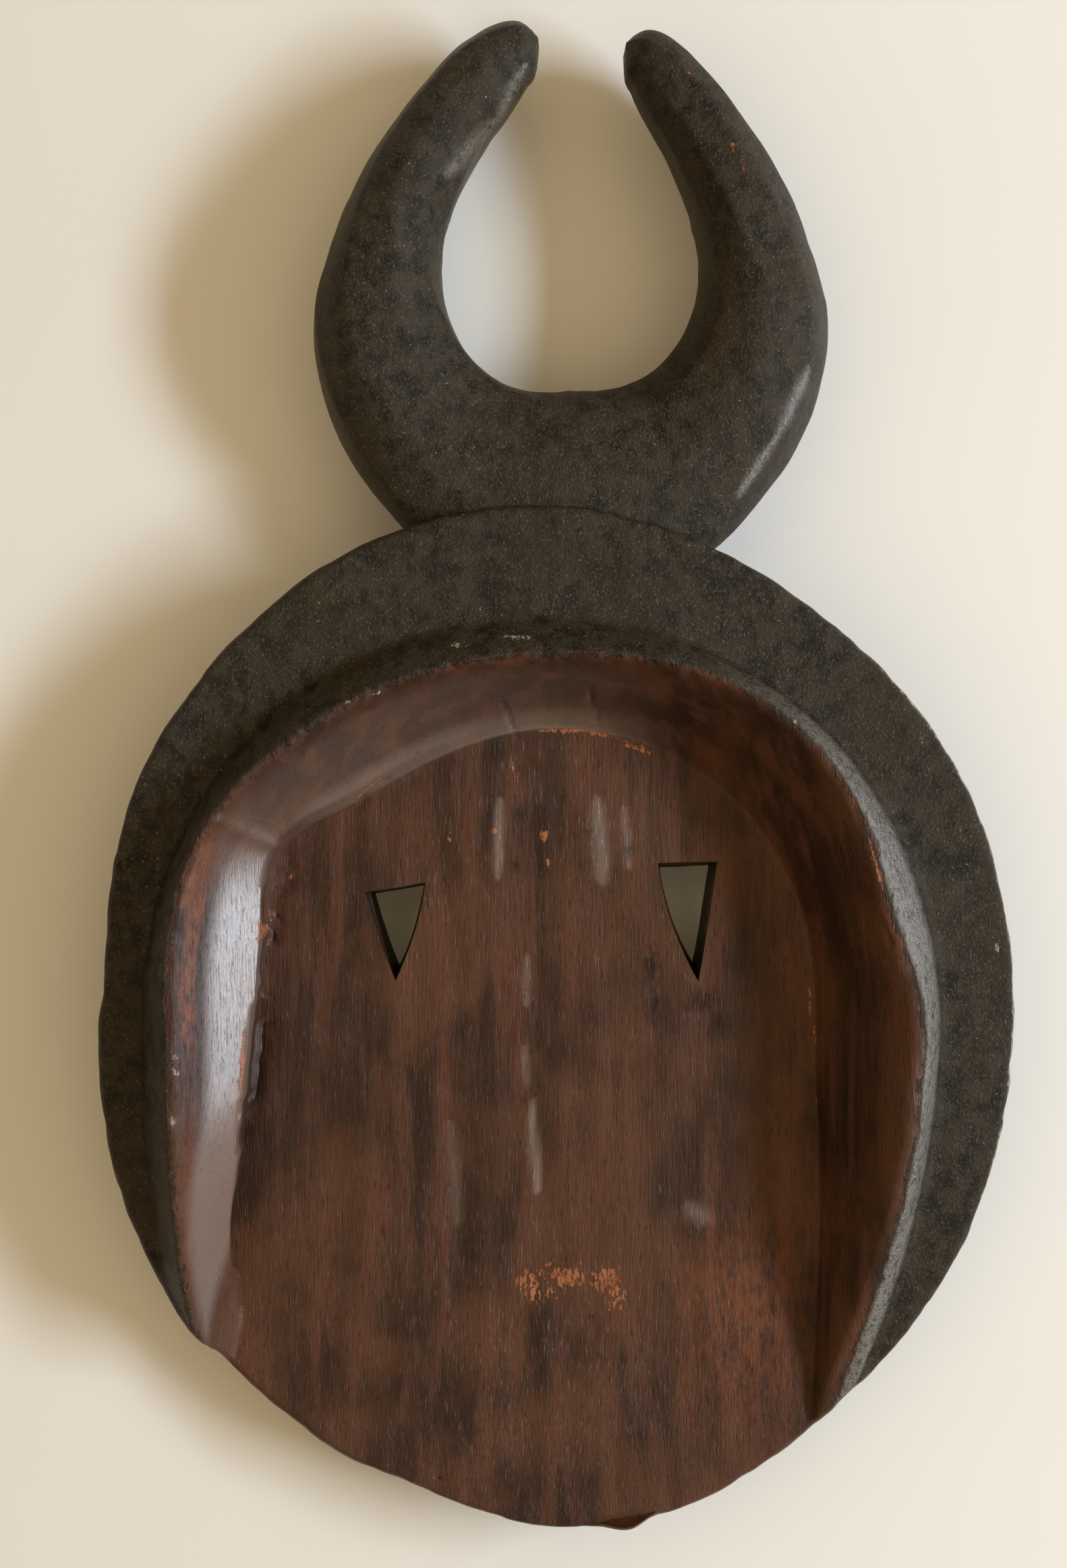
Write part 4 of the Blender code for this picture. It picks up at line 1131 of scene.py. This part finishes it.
class MASK_OT_carving(bpy.types.Operator):
    """Carve the mask with its horns and finish its wood"""
    bl_idname = "mask.carving"
    bl_label = "Carve the mask"

    def execute(self, context):
        sizes, finish = context.scene.mask_sizes, context.scene.mask_finish
        disc = mesh_object("disc", *disc_surface(sizes))
        mouth = np.array((EYE_MIDDLE, -MOUTH_DROP))
        far = mouth + np.array(((1, -1), (-1, -1))) * (MOUTH_WIDTH / 2, MOUTH_HEIGHT / 2)
        box = box_surface(mouth, (MOUTH_WIDTH, MOUTH_HEIGHT), 0, root_height(far), MOUTH_SHOULDER)
        raised = (("horns", horn_surface(sizes)), ("left_lobe", lobe_surface(-1)),
                  ("right_lobe", lobe_surface(1)), ("mouth", box))
        body = carve(disc, raised, "UNION")
        cutters = [(f"eye_{eye[0]}", eye_surface(*eye)) for eye in EYES]
        for i in range(MOUTH_STROKES):
            across = ((i + 1) / (MOUTH_STROKES + 1) - 0.5) * MOUTH_WIDTH
            cutters.append((f"stroke_{i}", box_surface(
                mouth + (across, 0), (MOUTH_STROKE_WIDTH, MOUTH_STROKE_HEIGHT), -CUT_CLEARANCE,
                MOUTH_STROKE_DEPTH, 0)))
        mask = carve(body, cutters, "DIFFERENCE")
        mesh = mask.data
        count = len(mesh.vertices)
        points, normals = np.zeros(count * 3, np.float32), np.zeros(count * 3, np.float32)
        mesh.vertices.foreach_get("co", points)
        mesh.vertex_normals.foreach_get("vector", normals)
        points, normals = points.reshape(-1, 3).astype(float), normals.reshape(-1, 3).astype(float)
        fields = surface_fields(points, normals)
        points = cut_marks(points, normals, sizes)
        points[:, 2] = np.maximum(points[:, 2], 0.0)
        for name, values in fields.items():
            layer = mesh.attributes.new(name, "FLOAT", "POINT")
            layer.data.foreach_set("value", values.astype(np.float32))
        mesh.vertices.foreach_set("co", (points + stage_place()).astype(np.float32).ravel())
        mesh.update()
        mesh.shade_smooth()
        mesh.set_sharp_from_angle(angle=math.radians(50))
        mesh.materials.clear()
        names = FinishColours.__annotations__
        mesh.materials.append(wood_material({name: tuple(getattr(finish, name)) for name in names}))
        mask.name = "mask_carving"
        context.scene.collection.objects.link(mask)
        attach(mask, "root")
        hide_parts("mask")
        return {"FINISHED"}


class MASK_OT_stage(bpy.types.Operator):
    """Add the pale floor, the window's soft light and the camera over the mask"""
    bl_idname = "mask.stage"
    bl_label = "Set the stage"

    def execute(self, context):
        stage = context.scene.mask_stage
        corners = FLOOR_HALF * np.array(((-1, -1, 0), (1, -1, 0), (1, 1, 0), (-1, 1, 0)))
        floor = mesh_object("floor", corners, np.array(((0, 1, 2), (0, 2, 3))))
        floor.data.materials.append(floor_material(stage.floor_colour))
        context.scene.collection.objects.link(floor)

        light = bpy.data.lights.new("window", "AREA")
        light.shape = "RECTANGLE"
        light.size, light.size_y = stage.window_height, stage.window_width
        light.energy = stage.window_power
        light.color = WINDOW_COLOUR
        window = bpy.data.objects.new("window", light)
        reach, rise = math.cos(stage.window_elevation), math.sin(stage.window_elevation)
        window.location = (stage.window_distance * reach, 0, stage.window_distance * rise)
        window.rotation_euler = (0, math.pi / 2 - stage.window_elevation, 0)
        context.scene.collection.objects.link(window)
        context.scene.world = room_world(stage.fill, stage.overhead)

        lens = bpy.data.cameras.new("camera")
        lens.sensor_fit = "VERTICAL"
        lens.sensor_height = SENSOR_HEIGHT
        lens.lens = LENS_LENGTH
        camera = bpy.data.objects.new("camera", lens)
        camera.location = (*CAMERA_ASIDE, stage.camera_height)
        context.scene.collection.objects.link(camera)
        context.scene.camera = camera
        context.scene.view_settings.view_transform = "Standard"
        context.scene.view_settings.look = "None"
        return {"FINISHED"}


class MASK_PT_panel(bpy.types.Panel):
    """Sizes, colours and steps of the mask"""
    bl_idname = "MASK_PT_panel"
    bl_label = "Horned mask"
    bl_space_type = "VIEW_3D"
    bl_region_type = "UI"
    bl_category = "Mask"

    def draw(self, context):
        layout = self.layout
        for group in (context.scene.mask_sizes, context.scene.mask_finish, context.scene.mask_stage):
            box = layout.box()
            for name in type(group).__annotations__:
                box.prop(group, name)
        layout.operator("mask.carving")
        layout.operator("mask.stage")


CLASSES = (CarvingSizes, FinishColours, StageSettings, MASK_OT_carving, MASK_OT_stage, MASK_PT_panel)


def register():
    for cls in CLASSES:
        bpy.utils.register_class(cls)
    bpy.types.Scene.mask_sizes = PointerProperty(type=CarvingSizes)
    bpy.types.Scene.mask_finish = PointerProperty(type=FinishColours)
    bpy.types.Scene.mask_stage = PointerProperty(type=StageSettings)


def unregister():
    del bpy.types.Scene.mask_stage, bpy.types.Scene.mask_finish, bpy.types.Scene.mask_sizes
    for cls in reversed(CLASSES):
        bpy.utils.unregister_class(cls)


def main():
    register()
    bpy.ops.mask.carving()
    bpy.ops.mask.stage()


if __name__ == "__main__":
    main()
